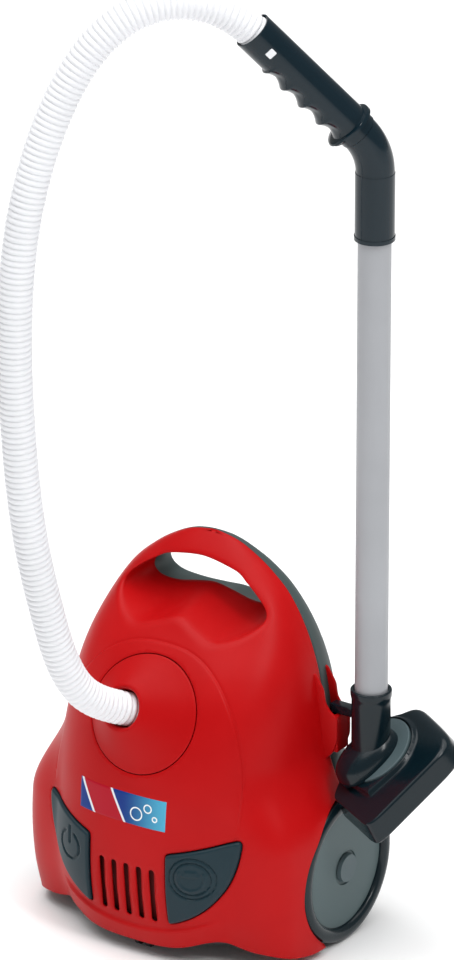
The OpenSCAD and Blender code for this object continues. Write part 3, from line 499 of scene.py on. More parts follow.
def route(s):
    """Even cubic spline near the route's points, run out straight at both ends."""
    p = np.vstack([2 * ROUTE[0] - ROUTE[1], ROUTE, 2 * ROUTE[-1] - ROUTE[-2]])
    i = np.clip(np.floor(s).astype(int), 0, len(ROUTE) - 2)
    t = (s - i)[:, None]
    return ((1 - t) ** 3 * p[i] + (3 * t**3 - 6 * t**2 + 4) * p[i + 1]
            + (-3 * t**3 + 3 * t**2 + 3 * t + 1) * p[i + 2] + t**3 * p[i + 3]) / 6


def even_route(n):
    """Points of the route at even lengths, and its whole length."""
    fine = route(np.linspace(0, len(ROUTE) - 1, 4001))
    run = run_of(fine)
    at = np.linspace(0, run[-1], n)
    return np.stack([np.interp(at, run, axis) for axis in fine.T], -1), run[-1]


def ribbed_hose():
    """Tube along the route. Its radius swells once in each rib, flat on the crest and narrow between ribs."""
    each, around = 6, 32
    path, length = even_route(RIBS * each + 1)
    phase = (np.arange(len(path)) % each) / each
    swell = smooth(0.0, 0.32, phase) * (1 - smooth(0.68, 1.0, phase))
    side = np.array([0.7, -0.7, 0.1])
    outer = swept(path, (HOSE_R - RIB_H + RIB_H * swell)[:, None], side, around)
    core, _ = even_route(RIBS + 1)
    inner = swept(core, HOSE_BORE, side, around)
    skin = grid(np.vstack([outer, inner[::-1]]), True, True)
    hose = put("hose_ribbed", [skin], WHITE, None, ["hose"], 60)
    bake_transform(hose)


ribbed_hose()


# The egg-shaped body

EGG = np.array([
    [1, 0, 0, 0], [0.987, 0.19, 0.043, 0.123], [0.96, 0.35, 0.121, 0.231],
    [0.926, 0.49, 0.198, 0.338], [0.879, 0.629, 0.302, 0.446], [0.805, 0.757, 0.466, 0.6],
    [0.721, 0.848, 0.672, 0.738], [0.631, 0.9, 0.819, 0.846], [0.503, 0.943, 0.927, 0.938],
    [0.369, 0.981, 0.983, 0.985], [0.235, 1, 1, 1], [0.117, 0.99, 0.97, 0.969],
    [0.027, 0.962, 0.905, 0.923],
]) * (298, 105, 116, 65)
LAST = len(EGG) - 1
NOSE_POWER, TAIL_POWER, HIP, WALL = 2.6, 2.3, 20.0, 2.4
HEM, HEM_RISE, HEM_DROP, HEM_ROW = 12.0, 9.0, 6.0, EGG[-1, 0]
WHEEL_R, ARCH_R, ARCH_X = 57.0, 59.5, 90.5
FRONT, REAR = -1, 1


def egg_row(t):
    """Height, half width, front depth and rear depth at t, by a cubic through the neighbouring rows."""
    i = np.clip(np.floor(t).astype(int), 0, LAST - 1)
    f = (t - i)[..., None]
    a, b, c, d = (EGG[np.clip(i + j, 0, LAST)] for j in (-1, 0, 1, 2))
    return ((2 * f**3 - 3 * f**2 + 1) * b + (f**3 - 2 * f**2 + f) * (c - a) / 2
            + (3 * f**2 - 2 * f**3) * c + (f**3 - f**2) * (d - b) / 2)


def egg(side, p, t):
    """Superellipse of row t at angle p from the shell's middle, with the fender's bulge and the wavy hem."""
    p, t = np.broadcast_arrays(np.asarray(p, float), np.asarray(t, float))
    z, w, nose, tail = np.moveaxis(egg_row(t), -1, 0)
    power, depth = (NOSE_POWER, nose) if side == FRONT else (TAIL_POWER, tail)
    s, c, q = np.sin(np.radians(p)), np.cos(np.radians(p)), np.abs(p)
    x = w * np.sign(s) * np.abs(s) ** (2 / power)
    y = side * depth * np.abs(c) ** (2 / power)
    swell = smooth(38, 66, q) * (1 - 0.35 * smooth(75, 95, q)) if side == FRONT else 0.7 * smooth(50, 90, q)
    k = 1 + HIP * smooth(155, 92, z) * swell / np.maximum(0.01, np.hypot(x, y))
    hem = HEM - HEM_DROP * smooth(52, 75, q)
    hem = hem + (HEM_RISE * np.exp(-(((q - 32) / 13) ** 2)) if side == FRONT else 0)
    return np.stack([x * k, y * k, z + (hem - HEM_ROW) * smooth(62, HEM_ROW, z)], -1)


class Half:
    """One shell on a nearly even map: a runs round it and b runs down it, both in millimetres."""

    def __init__(self, side):
        self.side = side
        self.p = np.linspace(-90, 90, 2881)
        self.t = np.linspace(0, LAST, 2401)
        self.a = run_of(egg(side, self.p, 8.0))
        self.a -= self.a[-1] / 2
        self.b = run_of(egg(side, 0.0, self.t))
        self.high = np.array([self.a[-1], self.b[-1]])
        self.low = np.array([self.a[0], 0.6])

    def at(self, ab):
        """Point of the shell at a place on the map."""
        return egg(self.side, np.interp(ab[..., 0], self.a, self.p), np.interp(ab[..., 1], self.b, self.t))

    def normal(self, ab):
        """Outward normal, from differences along a and b."""
        h = 0.4
        ab = np.clip(ab, self.low + (1.0, 0.5), self.high - (1.0, h))
        da = self.at(ab + (h, 0)) - self.at(ab - (h, 0))
        db = self.at(ab + (0, h)) - self.at(ab - (0, h))
        return unit(np.cross(da, db)) * self.side

    def find(self, measure, target):
        """Places whose measured pair is the target: Newton's method from the nearest of a set of starts."""
        a, b = np.meshgrid(np.linspace(*self.a[[0, -1]], 161), np.linspace(self.low[1], self.high[1], 161))
        starts = np.stack([a, b], -1).reshape(-1, 2)
        ab = starts[nearest(measure(self.at(starts)), target)]
        h = 0.05
        for _ in range(14):
            off = target - measure(self.at(ab))
            ja = (measure(self.at(ab + (h, 0))) - measure(self.at(ab - (h, 0)))) / (2 * h)
            jb = (measure(self.at(ab + (0, h))) - measure(self.at(ab - (0, h)))) / (2 * h)
            det = ja[:, 0] * jb[:, 1] - ja[:, 1] * jb[:, 0]
            det = np.where(np.abs(det) < 1e-4, 1e-4, det)
            move = np.stack([off[:, 0] * jb[:, 1] - off[:, 1] * jb[:, 0],
                             ja[:, 0] * off[:, 1] - ja[:, 1] * off[:, 0]], -1) / det[:, None]
            ab = np.clip(ab + np.clip(move, -3, 3), self.low, self.high)
        return ab


NOSE, TAIL = Half(FRONT), Half(REAR)


def across_up(p):
    """X and Z of points."""
    return p[..., [0, 2]]


def along_up(p):
    """Y and Z of points."""
    return p[..., [1, 2]]


# Arched panel line round the hose port: half width, height, and the height of its foot
PANEL_W, PANEL_H, PANEL_FOOT = 80, 118, 113


def panel_distance(x, z):
    """Distance outside the panel line (x / width)^2.5 + ((z - foot) / height)^2.5 = 1, to first order."""
    u, v = np.abs(x) / PANEL_W, np.maximum(z - PANEL_FOOT, 0) / PANEL_H
    q = np.maximum(u**2.5 + v**2.5, 1e-9)
    slope = np.hypot(q**-0.6 * u**1.5 / PANEL_W, q**-0.6 * v**1.5 / PANEL_H)
    return (q**0.4 - 1) / np.maximum(slope, 1e-4)


def lip_height(x):
    """Height of the crease over the bumper lip under the nose."""
    return 25 + 0.0034 * x**2


def nose_relief(p):
    """Raised panel with a groove round it, and the bumper lip that stands out under the slots."""
    x, z = p[:, 0], p[:, 2]
    d = panel_distance(x, z)
    panel = (0.9 * smooth(0.9, -0.9, d) - 0.7 * np.exp(-((d / 0.6) ** 2))) * smooth(106, 132, z)
    lip = 2.2 * smooth(1.0, -1.0, z - lip_height(x)) * (1 - smooth(56, 72, np.abs(x)))
    return panel + lip


def nose_point(ab, up=0.0):
    """Point of the red shell's outside, with its relief, raised along the normal."""
    p = NOSE.at(ab)
    return p + (nose_relief(p) + up)[:, None] * NOSE.normal(ab)


# Handle opening in X and Z: its rim on the front shell, at the seam and on the rear shell, right half
HALF_RIM = [(0, 282), (28, 278), (41, 271.5), (52, 264), (60, 256.5), (62.5, 250), (58, 244), (47, 238),
            (33, 235), (17, 239.5), (0, 245)]
HALF_SEAM = [(0, 282.5), (24, 280), (38, 274.5), (47, 268), (52.5, 261), (52.5, 255), (46, 250.5), (32, 250),
             (16, 253.5), (0, 256)]
HALF_BACK = [(0, 282), (20, 281), (34, 277.5), (44, 271), (50, 264), (53, 256), (52, 248), (46, 242),
             (32, 238.5), (15, 238), (0, 239)]


def full_rim(half):
    """Closed rim from its right half, anticlockwise from the top."""
    left = [(-x, z) for x, z in half[1:-1]]
    return evened(closed_curve(half[:1] + left + half[:0:-1], 24), 220)


def skin(half, loops, arch, extra, step):
    """Trimmed shell: lattice points outside the holes, the hole edges as constraints, mapped onto the egg.

    loops and arch are flat lines on the map. Hole edges sink a little, for a soft rim.
    """
    lines = [(v, True) for v in loops] + [(v, False) for v in arch]
    soft = [grown(v, 0.8) for v in loops]
    points = lattice(half.low, half.high, step)
    a, b = (np.linspace(half.low[k], half.high[k], 200) for k in (0, 1))
    sides = [s * (half.high[0] - d) for s in (-1, 1) for d in (0, 0.5, 1.2, 2.2)]
    columns = [np.column_stack([0 * b + v, b]) for v in sides]
    hems = [np.column_stack([a, 0 * a + half.high[1] - d]) for d in (0, 0.6, 1.5)]
    fixed = np.vstack(soft + columns + hems + extra)
    keep = np.ones(len(points), bool)
    for v, closed in lines:
        keep &= edge_distance(points, v, closed) > 0.55 * step
    near = np.vstack(extra + columns + hems)
    keep &= ~np.isin(cells(points, 0.7 * step), cells(near, 0.7 * step))
    keep &= (points > half.low + 0.3 * step).all(1) & (points < half.high - 0.3 * step).all(1)
    free = np.ones(len(fixed), bool)
    for v, closed in lines:
        free &= edge_distance(fixed, v, closed) > 0.3
    edge_points = np.vstack([v for v, _ in lines])
    starts = np.cumsum([0] + [len(v) for v, _ in lines])
    edges = np.vstack([chain(s, len(v), closed) for s, (v, closed) in zip(starts, lines)])
    flat, faces = triangles(np.vstack([edge_points, fixed[free], points[keep]]), edges)
    middle = flat[faces].mean(1)
    cut = np.zeros(len(faces), bool)
    for v in loops:
        cut |= inside(middle, v)
    m = half.at(middle)
    cut |= (np.hypot(m[:, 1], m[:, 2] - WHEEL_R) < ARCH_R) & (np.abs(m[:, 0]) > ARCH_X)
    sink = np.zeros(len(flat))
    for v in loops[1:]:
        sink = np.maximum(sink, 0.5 * (edge_distance(flat, v) < 0.05))
    sink = np.maximum(sink, 0.6 * (1 - smooth(0, 1.2, half.high[0] - np.abs(flat[:, 0]))))
    p = half.at(flat)
    raised = (nose_relief(p) if half.side == FRONT else 0) - sink
    p = p + raised[:, None] * half.normal(flat)
    faces = faces[~cut]
    return p, faces[:, ::-1] if half.side == FRONT else faces


def handle_tunnel(half, rim_xz, width):
    """Rounded rim and tunnel wall: quadratic round from the face into the hole, then a curve to the seam."""
    rim = half.at(half.find(across_up, rim_xz))
    seam_xz = full_rim(HALF_SEAM)
    seam = np.column_stack([seam_xz[:, 0], 0 * seam_xz[:, 0], seam_xz[:, 1]])
    outer_ab = half.find(across_up, grown(rim_xz, width))
    outer = nose_point(outer_ab) if half.side == FRONT else half.at(outer_ab)
    lead = rim + np.minimum(width, 0.6 * np.linalg.norm(seam - rim, axis=1))[:, None] * unit(seam - rim)
    flat = lead * (1, 0, 1) + mix(lead, seam, 0.8) * (0, 1, 0)
    t = np.linspace(0, 1, 9)[:, None, None]
    s = np.linspace(0, 1, 16)[1:, None, None]
    rows = np.vstack([bend(outer, rim, lead, t), bend(lead, mix(mix(lead, seam, 0.5), flat, 0.75), seam, s)])
    return outer_ab, grid(rows, wrap_columns=True, flip=half.side == REAR)


def arch_line(half, sign):
    """Edge of the wheel arch on the shell, from the seam down to the hem."""
    target = ARCH_R * ray(np.radians(np.linspace(90, -58, 75))) * (half.side, 1) + (0, WHEEL_R)
    ab = half.find(along_up, target)
    ab = np.where(ab[:, :1] * sign < 0, ab * (-1, 1), ab)
    ab[0, 0] = sign * half.high[0]
    near = np.linalg.norm(along_up(half.at(ab)) - target, axis=1) < 0.6
    return ab[: max(8, int(near.nonzero()[0].max()) + 1)]


def arch_wall(half, ab, sign):
    """Round wall of the arch and the flat wall behind the wheel."""
    edge = half.at(ab)
    back = edge * (0, 1, 1) + (sign * ARCH_X, 0, 0)
    axle = np.array([sign * ARCH_X, 0, WHEEL_R])
    hub = axle + 9.5 * unit(back - axle)
    rows = np.vstack([mix(edge, back, np.linspace(0, 1, 6)[:, None, None]),
                      mix(back, hub, np.linspace(0, 1, 9)[1:, None, None])])
    return grid(rows, flip=(half.side == FRONT) == (sign > 0))


# Foot buttons, in X and Z on the right-hand side
B_FOOT, B_HEAD, B_TIP = np.array([34.0, 34.0]), np.array([33.5, 90.5]), np.array([83.5, 105.5])
B_BELLY, B_BROW = np.array([80.0, 50.0]), np.array([58.0, 97.0])
SLOT_Z, SLOT_H, SLOT_W, SLOT_PITCH = 54.5, 43.0, 4.4, 10.9
PORT_R, PORT_LEAN = 43.5, math.radians(26.7)
PORT = frame_of((0, -89.0, 184.5), (1, 0, 0), (0, -math.cos(PORT_LEAN), math.sin(PORT_LEAN)))


def button_outline():
    """Anticlockwise outline of the right-hand button: inner edge, curved belly, blunt tip and brow."""
    t = np.linspace(0, 0.97, 40)[:, None]
    belly, brow = bend(B_FOOT, B_BELLY, B_TIP, t), bend(B_HEAD, B_BROW, B_TIP, t)
    line = evened(np.vstack([belly, brow[::-1]]), 260)
    for _ in range(9):
        line = 0.25 * np.roll(line, 1, 0) + 0.5 * line + 0.25 * np.roll(line, -1, 0)
    return line


def slot_outline(x):
    """Upright slot with round ends."""
    a = np.radians(np.arange(0, 360, 15))
    return np.column_stack([x + SLOT_W / 2 * np.cos(a),
                            SLOT_Z + np.sign(np.sin(a)) * (SLOT_H - SLOT_W) / 2 + SLOT_W / 2 * np.sin(a)])


def port_plane(p):
    """Coordinates of points across the port's axis."""
    return (p - PORT[0]) @ PORT[1][:2].T


def on_map(half, loop_xz):
    """Outline given in X and Z, on the shell's map, anticlockwise."""
    return anticlockwise(half.find(across_up, loop_xz))


def level_line(side_x, distance):
    """Points beside the panel line, moved from it along its flat normal."""
    a = np.linspace(0, math.pi / 2, 120)
    line = np.column_stack([PANEL_W * np.cos(a) ** 0.8, PANEL_FOOT + PANEL_H * np.sin(a) ** 0.8])
    along = unit(np.gradient(line, axis=0))
    xz = line + distance * np.column_stack([along[:, 1], -along[:, 0]])
    return xz[xz[:, 1] > PANEL_FOOT - 5] * (side_x, 1)


def red_shell():
    """Front shell: trimmed egg, handle rim and tunnel, wheel arches."""
    handle_ab, tunnel = handle_tunnel(NOSE, full_rim(HALF_RIM), 4.0)
    a = np.radians(np.arange(0, 360, 2.5))
    port = NOSE.find(port_plane, (PORT_R + 0.5) * ray(a))
    window = grown(button_outline(), 0.8)
    loops = [anticlockwise(handle_ab), anticlockwise(port)] + [on_map(NOSE, window * (s, 1)) for s in (1, -1)]
    loops += [on_map(NOSE, slot_outline(SLOT_PITCH * (k - 2))) for k in range(5)]
    arches = [arch_line(NOSE, s) for s in (-1, 1)]
    x = np.linspace(-70, 70, 90)
    fine = [level_line(s, d) for s in (-1, 1) for d in (-1.8, -0.9, -0.4, 0, 0.4, 0.9, 1.8)]
    fine += [np.column_stack([x, lip_height(x) + d]) for d in (-2.4, -1.2, 0, 1.2, 2.4)]
    extra = [NOSE.find(across_up, v) for v in fine]
    parts = [skin(NOSE, loops, arches, extra, 2.8), tunnel]
    parts += [arch_wall(NOSE, v, s) for v, s in zip(arches, (-1, 1))]
    piece = put("front_shell_red", parts, RED, "body", ["front_shell"], 50, 0.05, False)
    wall(piece, WALL)


def grey_shell():
    """Rear shell: trimmed egg with the back of the handle, wheel arches and screw holes."""
    handle_ab, tunnel = handle_tunnel(TAIL, full_rim(HALF_BACK), 3.0)
    hole = 3.3 * ray(np.radians(np.arange(0, 360, 15)))
    loops = [anticlockwise(handle_ab)]
    loops += [on_map(TAIL, hole + (s * x, z)) for s in (-1, 1) for x, z in ((75, 225), (90, 136))]
    arches = [arch_line(TAIL, s) for s in (-1, 1)]
    x = np.linspace(-70, 70, 60)
    extra = [TAIL.find(across_up, np.column_stack([x, 40 + 0 * x]))]
    parts = [skin(TAIL, loops, arches, extra, 3.2), tunnel]
    parts += [arch_wall(TAIL, v, s) for v, s in zip(arches, (-1, 1))]
    piece = put("rear_shell_grey", parts, TAIL_GREY, "body", ["rear_shell"], 50, 0.05, False)
    wall(piece, WALL)


red_shell()
grey_shell()


# Hose port, label, slots and buttons


def hose_port():
    """Low cone on the shell's curve: rings slide from the port's circle to the hose's hole, and roll in."""
    hole = port_plane(np.array([[-12.0, -94.0, 187.5]]))[0]
    slope = np.linspace(0, 1, 26)
    k = np.concatenate([np.zeros(3), slope, np.ones(6)])
    r = np.concatenate([[PORT_R, PORT_R, PORT_R - 0.1], mix(PORT_R - 0.4, 16.4, slope),
                        [15.6, 14.7, 14.0, 13.6, 13.4, 13.3]])
    h = np.concatenate([[-3.5, -0.7, -0.15], 7.5 * slope**1.5, [7.6, 7.4, 6.6, 5.0, 0.0, -5.0]])
    a = np.radians(np.arange(0, 360, 3))
    flat = (k[:, None] * hole)[:, None] + r[:, None, None] * ray(a)
    ab = NOSE.find(port_plane, flat.reshape(-1, 2))
    p = nose_point(ab, np.repeat(h, len(a))).reshape(len(k), len(a), 3)
    put("hose_port_cone", [grid(p, wrap_columns=True)], RED, "body", ["hose_port"], 60)


def label_print():
    """Printed label: blue that pales to one end, a slanting red band with a pale edge, and bubbles."""
    m, shader, spot = new_material("label_print")
    x, z = spot.axis(0) + 6.0, spot.axis(2) - 119.5
    colour = x.rise(0.0, 44.0).blend(paint(20, 62, 150, 0.7), paint(90, 190, 225, 0.8))
    lean = x + 0.55 * z
    band = lean.rise(-29.0, -28.4) * (1 - lean.rise(-3.4, -2.8))
    pale = lean.rise(-31.2, -30.6) * (1 - lean.rise(-1.4, -0.8))
    colour = pale.blend(colour, paint(235, 240, 245, 0.9))
    colour = band.blend(colour, paint(200, 8, 40, 0.7))
    for at_x, at_z, r in ((14.0, -2.5, 5.2), (23.5, 3.4, 3.4), (29.5, -3.6, 2.2)):
        d = ((x - at_x) ** 2.0 + (z - at_z) ** 2.0) ** 0.5
        ring = d.rise(r - 1.1, r - 0.7) * (1 - d.rise(r - 0.1, r + 0.3))
        colour = ring.blend(colour, paint(245, 250, 250, 0.9))
    link(colour, shader.inputs["Base Color"])
    link(0.28 + 0.06 * spot.noise(60.0), shader.inputs["Roughness"])
    shader.inputs["Specular IOR Level"].default_value = 0.15
    return m


def label():
    """Thin patch on the shell's curve, 76 by 23 mm, with edges that turn down to the shell."""
    low, high = (-44, 108), (32, 131)
    xz = pairs(np.linspace(low[0], high[0], 77), np.linspace(low[1], high[1], 25))
    edge = np.minimum(xz - low, high - xz).min(1)
    p = nose_point(NOSE.find(across_up, xz), np.where(edge < 0.01, 0.02, 0.3)).reshape(77, 25, 3)
    put("label_patch", [grid(p, flip=True)], label_print(), "body", ["front_label"], 30, 0.001,
        False)


def slot_shade_sheet():
    """Dark red sheet on the shell's curve, 5 mm behind the slots. Its darker red is painted shade for the
    slots' insides.
    """
    ab = NOSE.find(across_up, pairs(np.linspace(-29, 29, 30), np.linspace(30, 79, 26)))
    p = (NOSE.at(ab) - 5.0 * NOSE.normal(ab)).reshape(30, 26, 3)
    wall(put("slot_shade_sheet", [grid(p, flip=True)], SLOT_SHADE_RED, "body", (), 30, 0.001, False), 1.0)


SIGN = np.array([53.0, 75.0])


def power_sign(xz):
    """Sunk ring that is open at the top, with a bar through the opening."""
    x, z = (xz - SIGN).T
    r, d = np.hypot(x, z), np.abs(x)
    opening = smooth(0.4, 0.9, z / np.maximum(r, 0.1)) * smooth(5.0, 3.6, d)
    ring = smooth(1.3, 0.5, np.abs(r - 10.5)) * (1 - opening)
    bar = smooth(1.5, 0.7, d) * smooth(0.5, 2, z) * smooth(15.5, 14.5, z)
    return -1.3 * np.maximum(ring, bar)


def cord_sign(xz):
    """Two sunk rings, and a raised round plug with two pins."""
    x, z = (xz - SIGN).T
    r = np.hypot(x, z)
    rings = np.maximum(smooth(0.9, 0.3, np.abs(r - 16.0)), smooth(0.9, 0.3, np.abs(r - 12.6)))
    plug = smooth(7.0, 6.0, r) * (1 - smooth(-2.2, -1.2, -z))
    pins = np.maximum(smooth(1.6, 1.0, np.hypot(x - 3, z - 5.2)), smooth(1.6, 1.0, np.hypot(x + 3, z - 5.2)))
    tail = smooth(1.2, 0.6, np.abs(r - 9.3)) * smooth(2, 4, -z + np.abs(x))
    return -1.1 * rings + 0.9 * np.maximum(np.maximum(plug, pins), tail)


def button(name, side, sign, body, node):
    """Button on the shell's curve, raised along its travel: round edge, sign in relief, straight sides."""
    line = button_outline()
    points = lattice(line.min(0), line.max(0), 1.0)
    points = points[inside(points, line)]
    points = points[edge_distance(points, line) > 0.5]
    rows = [grown(line, -d) for d in (0.35, 0.8, 1.4)]
    rows = [v[inside(v, line)] for v in rows]
    flat, faces = triangles(np.vstack([line] + rows + [points]), chain(0, len(line)))
    faces = faces[inside(flat[faces].mean(1), line)]
    d = edge_distance(flat, line)
    up = 2.4 - 1.5 * (1 - np.minimum(d / 2.2, 1)) ** 2.4 + sign(flat) * smooth(0.5, 2.5, d)
    xz = flat * (side, 1)
    out = np.array([0.0, -1.0, 0.0])
    top = nose_point(NOSE.find(across_up, xz)) + up[:, None] * out
    edge = nose_point(NOSE.find(across_up, line * (side, 1)))
    walls = edge + np.linspace(0.9, -3.5, 6)[:, None, None] * out
    put(name, [(top, faces), grid(walls, wrap_columns=True)], BUTTON, body, [node], 50, 0.02)


# Wheels


def wheel_finish():
    """Pale satin disc inside, dark glossy rim outside, parted by the distance from the axle."""
    m, shader, spot = new_material("wheel_plastic")
    y, z = spot.axis(1), spot.axis(2) - WHEEL_R
    rim = ((y**2.0 + z**2.0) ** 0.5).rise(45.3, 45.9)
    flow = spot.noise(14.0, 3.0)
    link(rim.blend(paint(80, 96, 98), paint(14, 30, 36)), shader.inputs["Base Color"])
    link(0.5 - 0.3 * rim + 0.06 * flow, shader.inputs["Roughness"])
    shader.inputs["Specular IOR Level"].default_value = 0.3
    link(spot.noise(1400.0).bump(0.05), shader.inputs["Normal"])
    return m


def wheel(name, side, node, finish):
    """Turned wheel: flat inner face, round tread shoulders, a rim bead and a sunk disc with a hub step."""
    inner = rounded([(4, 93.4), (48, 93.4), (49.5, 94.4), (52, 93.4)], 0.6)
    a = np.linspace(0, np.pi, 19)
    bead = np.column_stack([51.6 + 5.4 * np.cos(a), 113.8 + 4.2 * np.sin(a)])
    tread = np.vstack([rounded([(52, 93.4), (57, 93.4), (57, 113.8)], 3.0, 7), bead[1:]])
    face = rounded([(46.2, 113.8), (13.2, 114.6), (12.9, 113.2), (4, 113.2), (4, 93.4)], 0.5)
    axle = frame_of((0, 0, WHEEL_R), (0, 0, 1), (side, 0, 0))
    surface = turned(np.vstack([inner, tread, face]), axle, 144)
    put(name, [surface], finish, node, [node], 40)


# Wand: grip, neck and nozzle

WAND_X, WAND_Y = 134.0, 2.0
GRIP_FOOT, GRIP_TOP, GRIP_R = 17.73, 128.73, 14.5
GRIP_LEAN, GRIP_TURN = math.radians(43), math.radians(225)
GRIP_AXIS = polar(math.sin(GRIP_LEAN), GRIP_TURN, math.cos(GRIP_LEAN))
UNDERSIDE = polar(math.cos(GRIP_LEAN), GRIP_TURN, -math.sin(GRIP_LEAN))
GRIP_FRAME = frame_of((WAND_X, WAND_Y, 621), UNDERSIDE, GRIP_AXIS)
PITCH, COMB_FOOT, FINGERS = 18.75, 26.5, 4


def hand_grip():
    """Tube with finger grooves and sharp ridges underneath, a guard at its foot, and the sleeve's tab."""
    s = np.concatenate([np.arange(GRIP_FOOT, GRIP_TOP, 0.6), [GRIP_TOP]])
    phi = np.linspace(-np.pi, np.pi, 96, endpoint=False)
    f = (s - COMB_FOOT) / PITCH
    ridge = np.abs(2 * (f - np.floor(f)) - 1) ** 1.7
    live = smooth(-0.06, 0.02, f) * smooth(FINGERS + 0.06, FINGERS - 0.02, f)
    wave = live * (-2.1 + 3.8 * ridge)
    under = smooth(1.35, 0.6, np.abs(phi))
    guard = smooth(24.0, 24.7, s) * smooth(28.6, 27.8, s)
    r = GRIP_R + wave[:, None] * under + guard[:, None] * (3.0 + 1.4 * smooth(1.0, 0.3, np.abs(phi)))
    rows = np.vstack([r, r[-1] - 0.4, 0 * r[:2] + 13.3, 0 * r[:1] + 9.0])
    at = np.concatenate([s, [GRIP_TOP + 0.3, GRIP_TOP, GRIP_TOP - 14, GRIP_TOP - 14]])
    rows[0] -= 0.7
    foot = polar(0.8 * rows[:1], phi, at[0])
    p = place(np.vstack([foot, polar(rows, phi, at[:, None])]), GRIP_FRAME)
    put("hand_grip_grooved", [grid(p, wrap_columns=True)], GRIP, "wand", ["hand_grip"], 42)
    a = math.radians(85)
    out = ray(a) @ GRIP_FRAME[1][:2]
    on_side = frame_of(place(polar(13.0, a, 112.2), GRIP_FRAME), np.cross(GRIP_AXIS, out), out)
    tab = stacked(round_box(6.4, 5.4, 0.8), [(0, 0), (0, 1.5), (0.3, 1.9)], on_side)
    put("sleeve_tab", solid_of_rings(tab), WHITE, "wand", (), 40)


def round_box(width, height, radius):
    """Anticlockwise rectangle about its middle, with round corners."""
    a = np.radians(np.linspace(0, 90, 6))
    w, h = width / 2 - radius, height / 2 - radius
    middles = ((w, h), (-w, h), (-w, -h), (w, -h))
    return np.vstack([c + radius * ray(a + k * np.pi / 2) for k, c in enumerate(middles)])


ALONG, TILT = np.array([0.406, 0.663, 0.629]), np.array([-0.328819, -0.536584, 0.777146])
HEAD = frame_of((136.433, 5.971, 155.249), ALONG, TILT)
NEAR_END, FAR_END, LIP_SIDE, BACK_SIDE = 46.0, 44.0, 54.0, 16.5


def head_reach(a, back, flare):
    """Reach of the nozzle's side from the turntable's axis: round box by a power sum, and a round back."""
    c, s = np.cos(a), np.sin(a)
    x = np.abs(c) / np.where(c < 0, NEAR_END + flare, FAR_END)
    y = np.abs(s) / np.where(s < 0, LIP_SIDE + 0.3 * flare, BACK_SIDE)
    power = np.where(s < 0, np.where(c < 0, 14.0, 5.0), np.where(c < 0, 1.8, 4.0))
    box = (x**power + y**power) ** (-1 / power)
    return (box**9 + back**9) ** (1 / 9)


def surround_reach(a, r=31.2, tip=39.5, at=math.radians(-133.8)):
    """Circle with one corner: r, and r / cos of the angle to the corner's flank near it."""
    off = np.abs((a - at + np.pi) % (2 * np.pi) - np.pi)
    flank = math.acos(r / tip)
    return np.where(off < flank, r / np.cos(np.minimum(off, flank) - flank), r)


def nozzle_head():
    """Loft of rings round the turntable's axis: groove, surround, top face, edge round and flared side."""
    a = np.linspace(-np.pi, np.pi, 640, endpoint=False)
    rim, side = surround_reach(a), head_reach(a, 34.5, 0.0)
    far, near, rear = smooth(0.35, 0.9, np.cos(a)), smooth(0.4, 0.8, -np.cos(a)), smooth(0.1, 0.6, np.sin(a))
    soft = mix(mix(mix(2.6, 8.0, far), 1.2, near), 1.4, rear)
    one = np.ones_like(a)
    rings = [(r * one, h) for r, h in ((28.6, -6.5), (28.9, -6.5), (29.1, -1.8), (29.7, -1.0))]
    rings += [(rim + d, h) for d, h in ((-1.0, -1.0), (-0.3, -1.4), (0.3, -3.6), (1.2, -4.4))]
    rings += [(mix(rim + 1.2, np.maximum(side - soft, rim + 1.3), k), -4.5) for k in np.linspace(0.1, 1, 8)]
    for q in np.linspace(0.15, 1, 7) * np.pi / 2:
        rings.append((np.maximum(side - soft * (1 - np.sin(q)), rim + 1.4), -4.5 - soft * (1 - np.cos(q))))
    for k in np.linspace(0.15, 1, 7):
        low = -4.5 - soft - (17.2 - soft) * k
        rings.append((head_reach(a, mix(34.5, 16.0, smooth(0.1, 0.7, k)), 4.0 * k), low))
    last = rings[-1][0]
    rings += [(last - d, h) for d, h in ((0.5, -22.3), (1.0, -22.5), (2.4, -22.5), (2.4, -14.0))]
    rings.append((0.3 * last, -14.0))
    p = place(np.array([polar(r, a, h) for r, h in rings]), HEAD)
    put("nozzle_head_moulded", [grid(p, wrap_columns=True)], NOZZLE, "nozzle", ["nozzle_head"],
        45)


def nozzle_neck():
    """Collar with a flared lip, long dome over the turntable, the turntable's plate and the parking hook."""
    collar = rounded([(11.9, 158), (14.2, 158), (14.25, 197), (15.1, 200.5), (15.1, 205), (12.6, 205),
                      (12.1, 201), (11.9, 158)], 1.6)
    upright = frame_of((WAND_X, WAND_Y, 0), (1, 0, 0), (0, 0, 1))
    put("neck_collar", [turned(collar, upright, 96)], NOZZLE, "wand", ["nozzle_neck"], 42)
    e, a = np.radians(np.linspace(0, 89, 24))[:, None], np.linspace(0, 2 * np.pi, 112, endpoint=False)
    level, rise = np.cos(e) ** 0.85, np.sin(e) ** 0.85
    x = -8.5 + 27 * level * np.sign(np.cos(a)) * np.abs(np.cos(a)) ** 0.85
    y = 18.6 * level * np.sign(np.sin(a)) * np.abs(np.sin(a)) ** 0.85
    dome = place(np.stack([x, y, 15.5 * rise - 0.6 + 0 * x], -1), HEAD)
    put("neck_knuckle", [grid(dome, wrap_columns=True), lid(dome[-1])], NOZZLE, "wand", (), 50)
    plate = rounded([(0.5, 0), (28.2, 0), (28.2, -6), (0.5, -6)], 0.9)
    put("turntable_plate", [turned(plate, HEAD, 120)], PLATE, "wand", (), 40)
    bar = frame_of((0, WAND_Y, 182.8), (0, 1, 0), (1, 0, 0))
    arm = solid_of_rings(stacked(round_box(9, 7, 1.2), [(0.6, 101), (0, 101.8), (0, 122)], bar))
    drop = frame_of((102.25, WAND_Y, 0), (1, 0, 0), (0, 0, 1))
    tongue = solid_of_rings(stacked(round_box(2.5, 9, 0.7), [(0.5, 160), (0, 161), (0, 184)], drop))
    put("park_hook", arm + tongue, NOZZLE, "wand", (), 40)


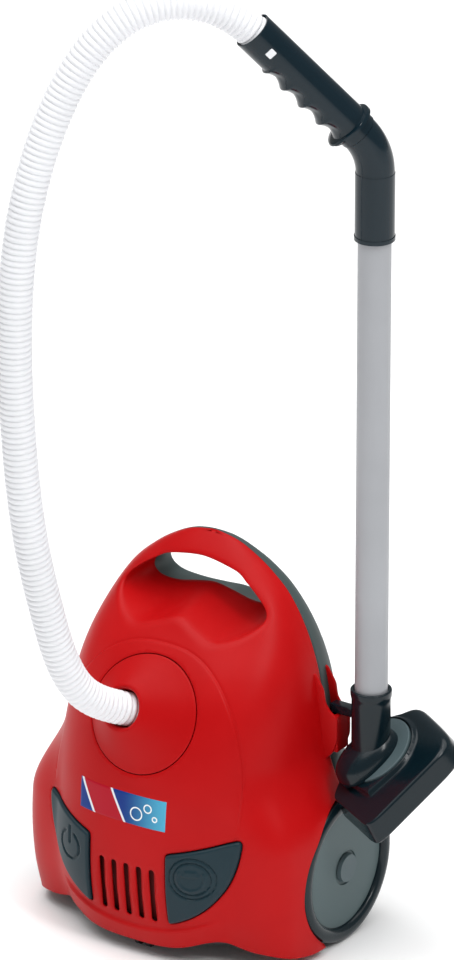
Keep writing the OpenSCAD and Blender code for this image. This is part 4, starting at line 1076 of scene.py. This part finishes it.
def park_bracket():
    """Two upright ribs with round edges, and the web between their outer ends."""
    corners = [(96, 138), (107, 150), (110.5, 160), (110.5, 178), (104.5, 181), (100, 187), (98.5, 197),
               (91, 209), (70, 209), (70, 138)]
    outline = rounded(corners + corners[:2], 2.5)[1:-1]
    flat = frame_of((0, 0, 0), (1, 0, 0), (0, -1, 0))
    parts = []
    edges = ((0.7, -1.3), (0.2, -1.1), (0, -0.7), (0, 0.7), (0.2, 1.1), (0.7, 1.3))
    for y in (-6.0, 10.0):
        parts += solid_of_rings(stacked(outline, [(i, h - y) for i, h in edges], flat))
    up = frame_of((108, 2, 0), (1, 0, 0), (0, 0, 1))
    web = stacked(round_box(4, 15.2, 0.9), [(0.6, 150), (0, 150.6), (0, 178.4), (0.6, 179)], up)
    parts += solid_of_rings(web)
    put("park_bracket_ribs", parts, RED, "body", ["park_bracket"], 40)


hose_port()
label()
# Dark red sheet behind the slots: painted shade.
slot_shade_sheet()
button("power_button_top", -1, power_sign, "power_button", "power_button")
button("cord_button_top", 1, cord_sign, "cord_button", "cord_button")
WHEEL = wheel_finish()
wheel("left_wheel_turned", -1, "wheel_left", WHEEL)
wheel("right_wheel_turned", 1, "wheel_right", WHEEL)
hand_grip()
nozzle_head()
nozzle_neck()
park_bracket()

for name, material in {
    "base_pan": PAN, "shell_screws": STEEL, "axle": STEEL, "axle_bushes": PAN, "button_carrier": PAN,
    "power_switch": BLACK, "motor": STEEL, "motor_bracket": PAN, "battery_box": PAN, "battery_cells": CELL,
    "battery_contacts": STEEL, "battery_door": PAN, "battery_door_screw": STEEL, "caster_fork": PAN,
    "caster_wheels": PAN, "caster_pin": STEEL, "power_button_spring": STEEL, "cord_button_spring": STEEL,
    "motor_shaft": STEEL, "fan": WHITE, "nozzle_sole": PAN, "turntable_ring": PAN, "sole_screws": STEEL,
    "axle_caps": PLATE, "wand_tube": TUBE, "wand_elbow": GRIP, "hose_sleeve": WHITE,
}.items():
    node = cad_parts[name]
    node.data.materials.clear()
    node.data.materials.append(material)
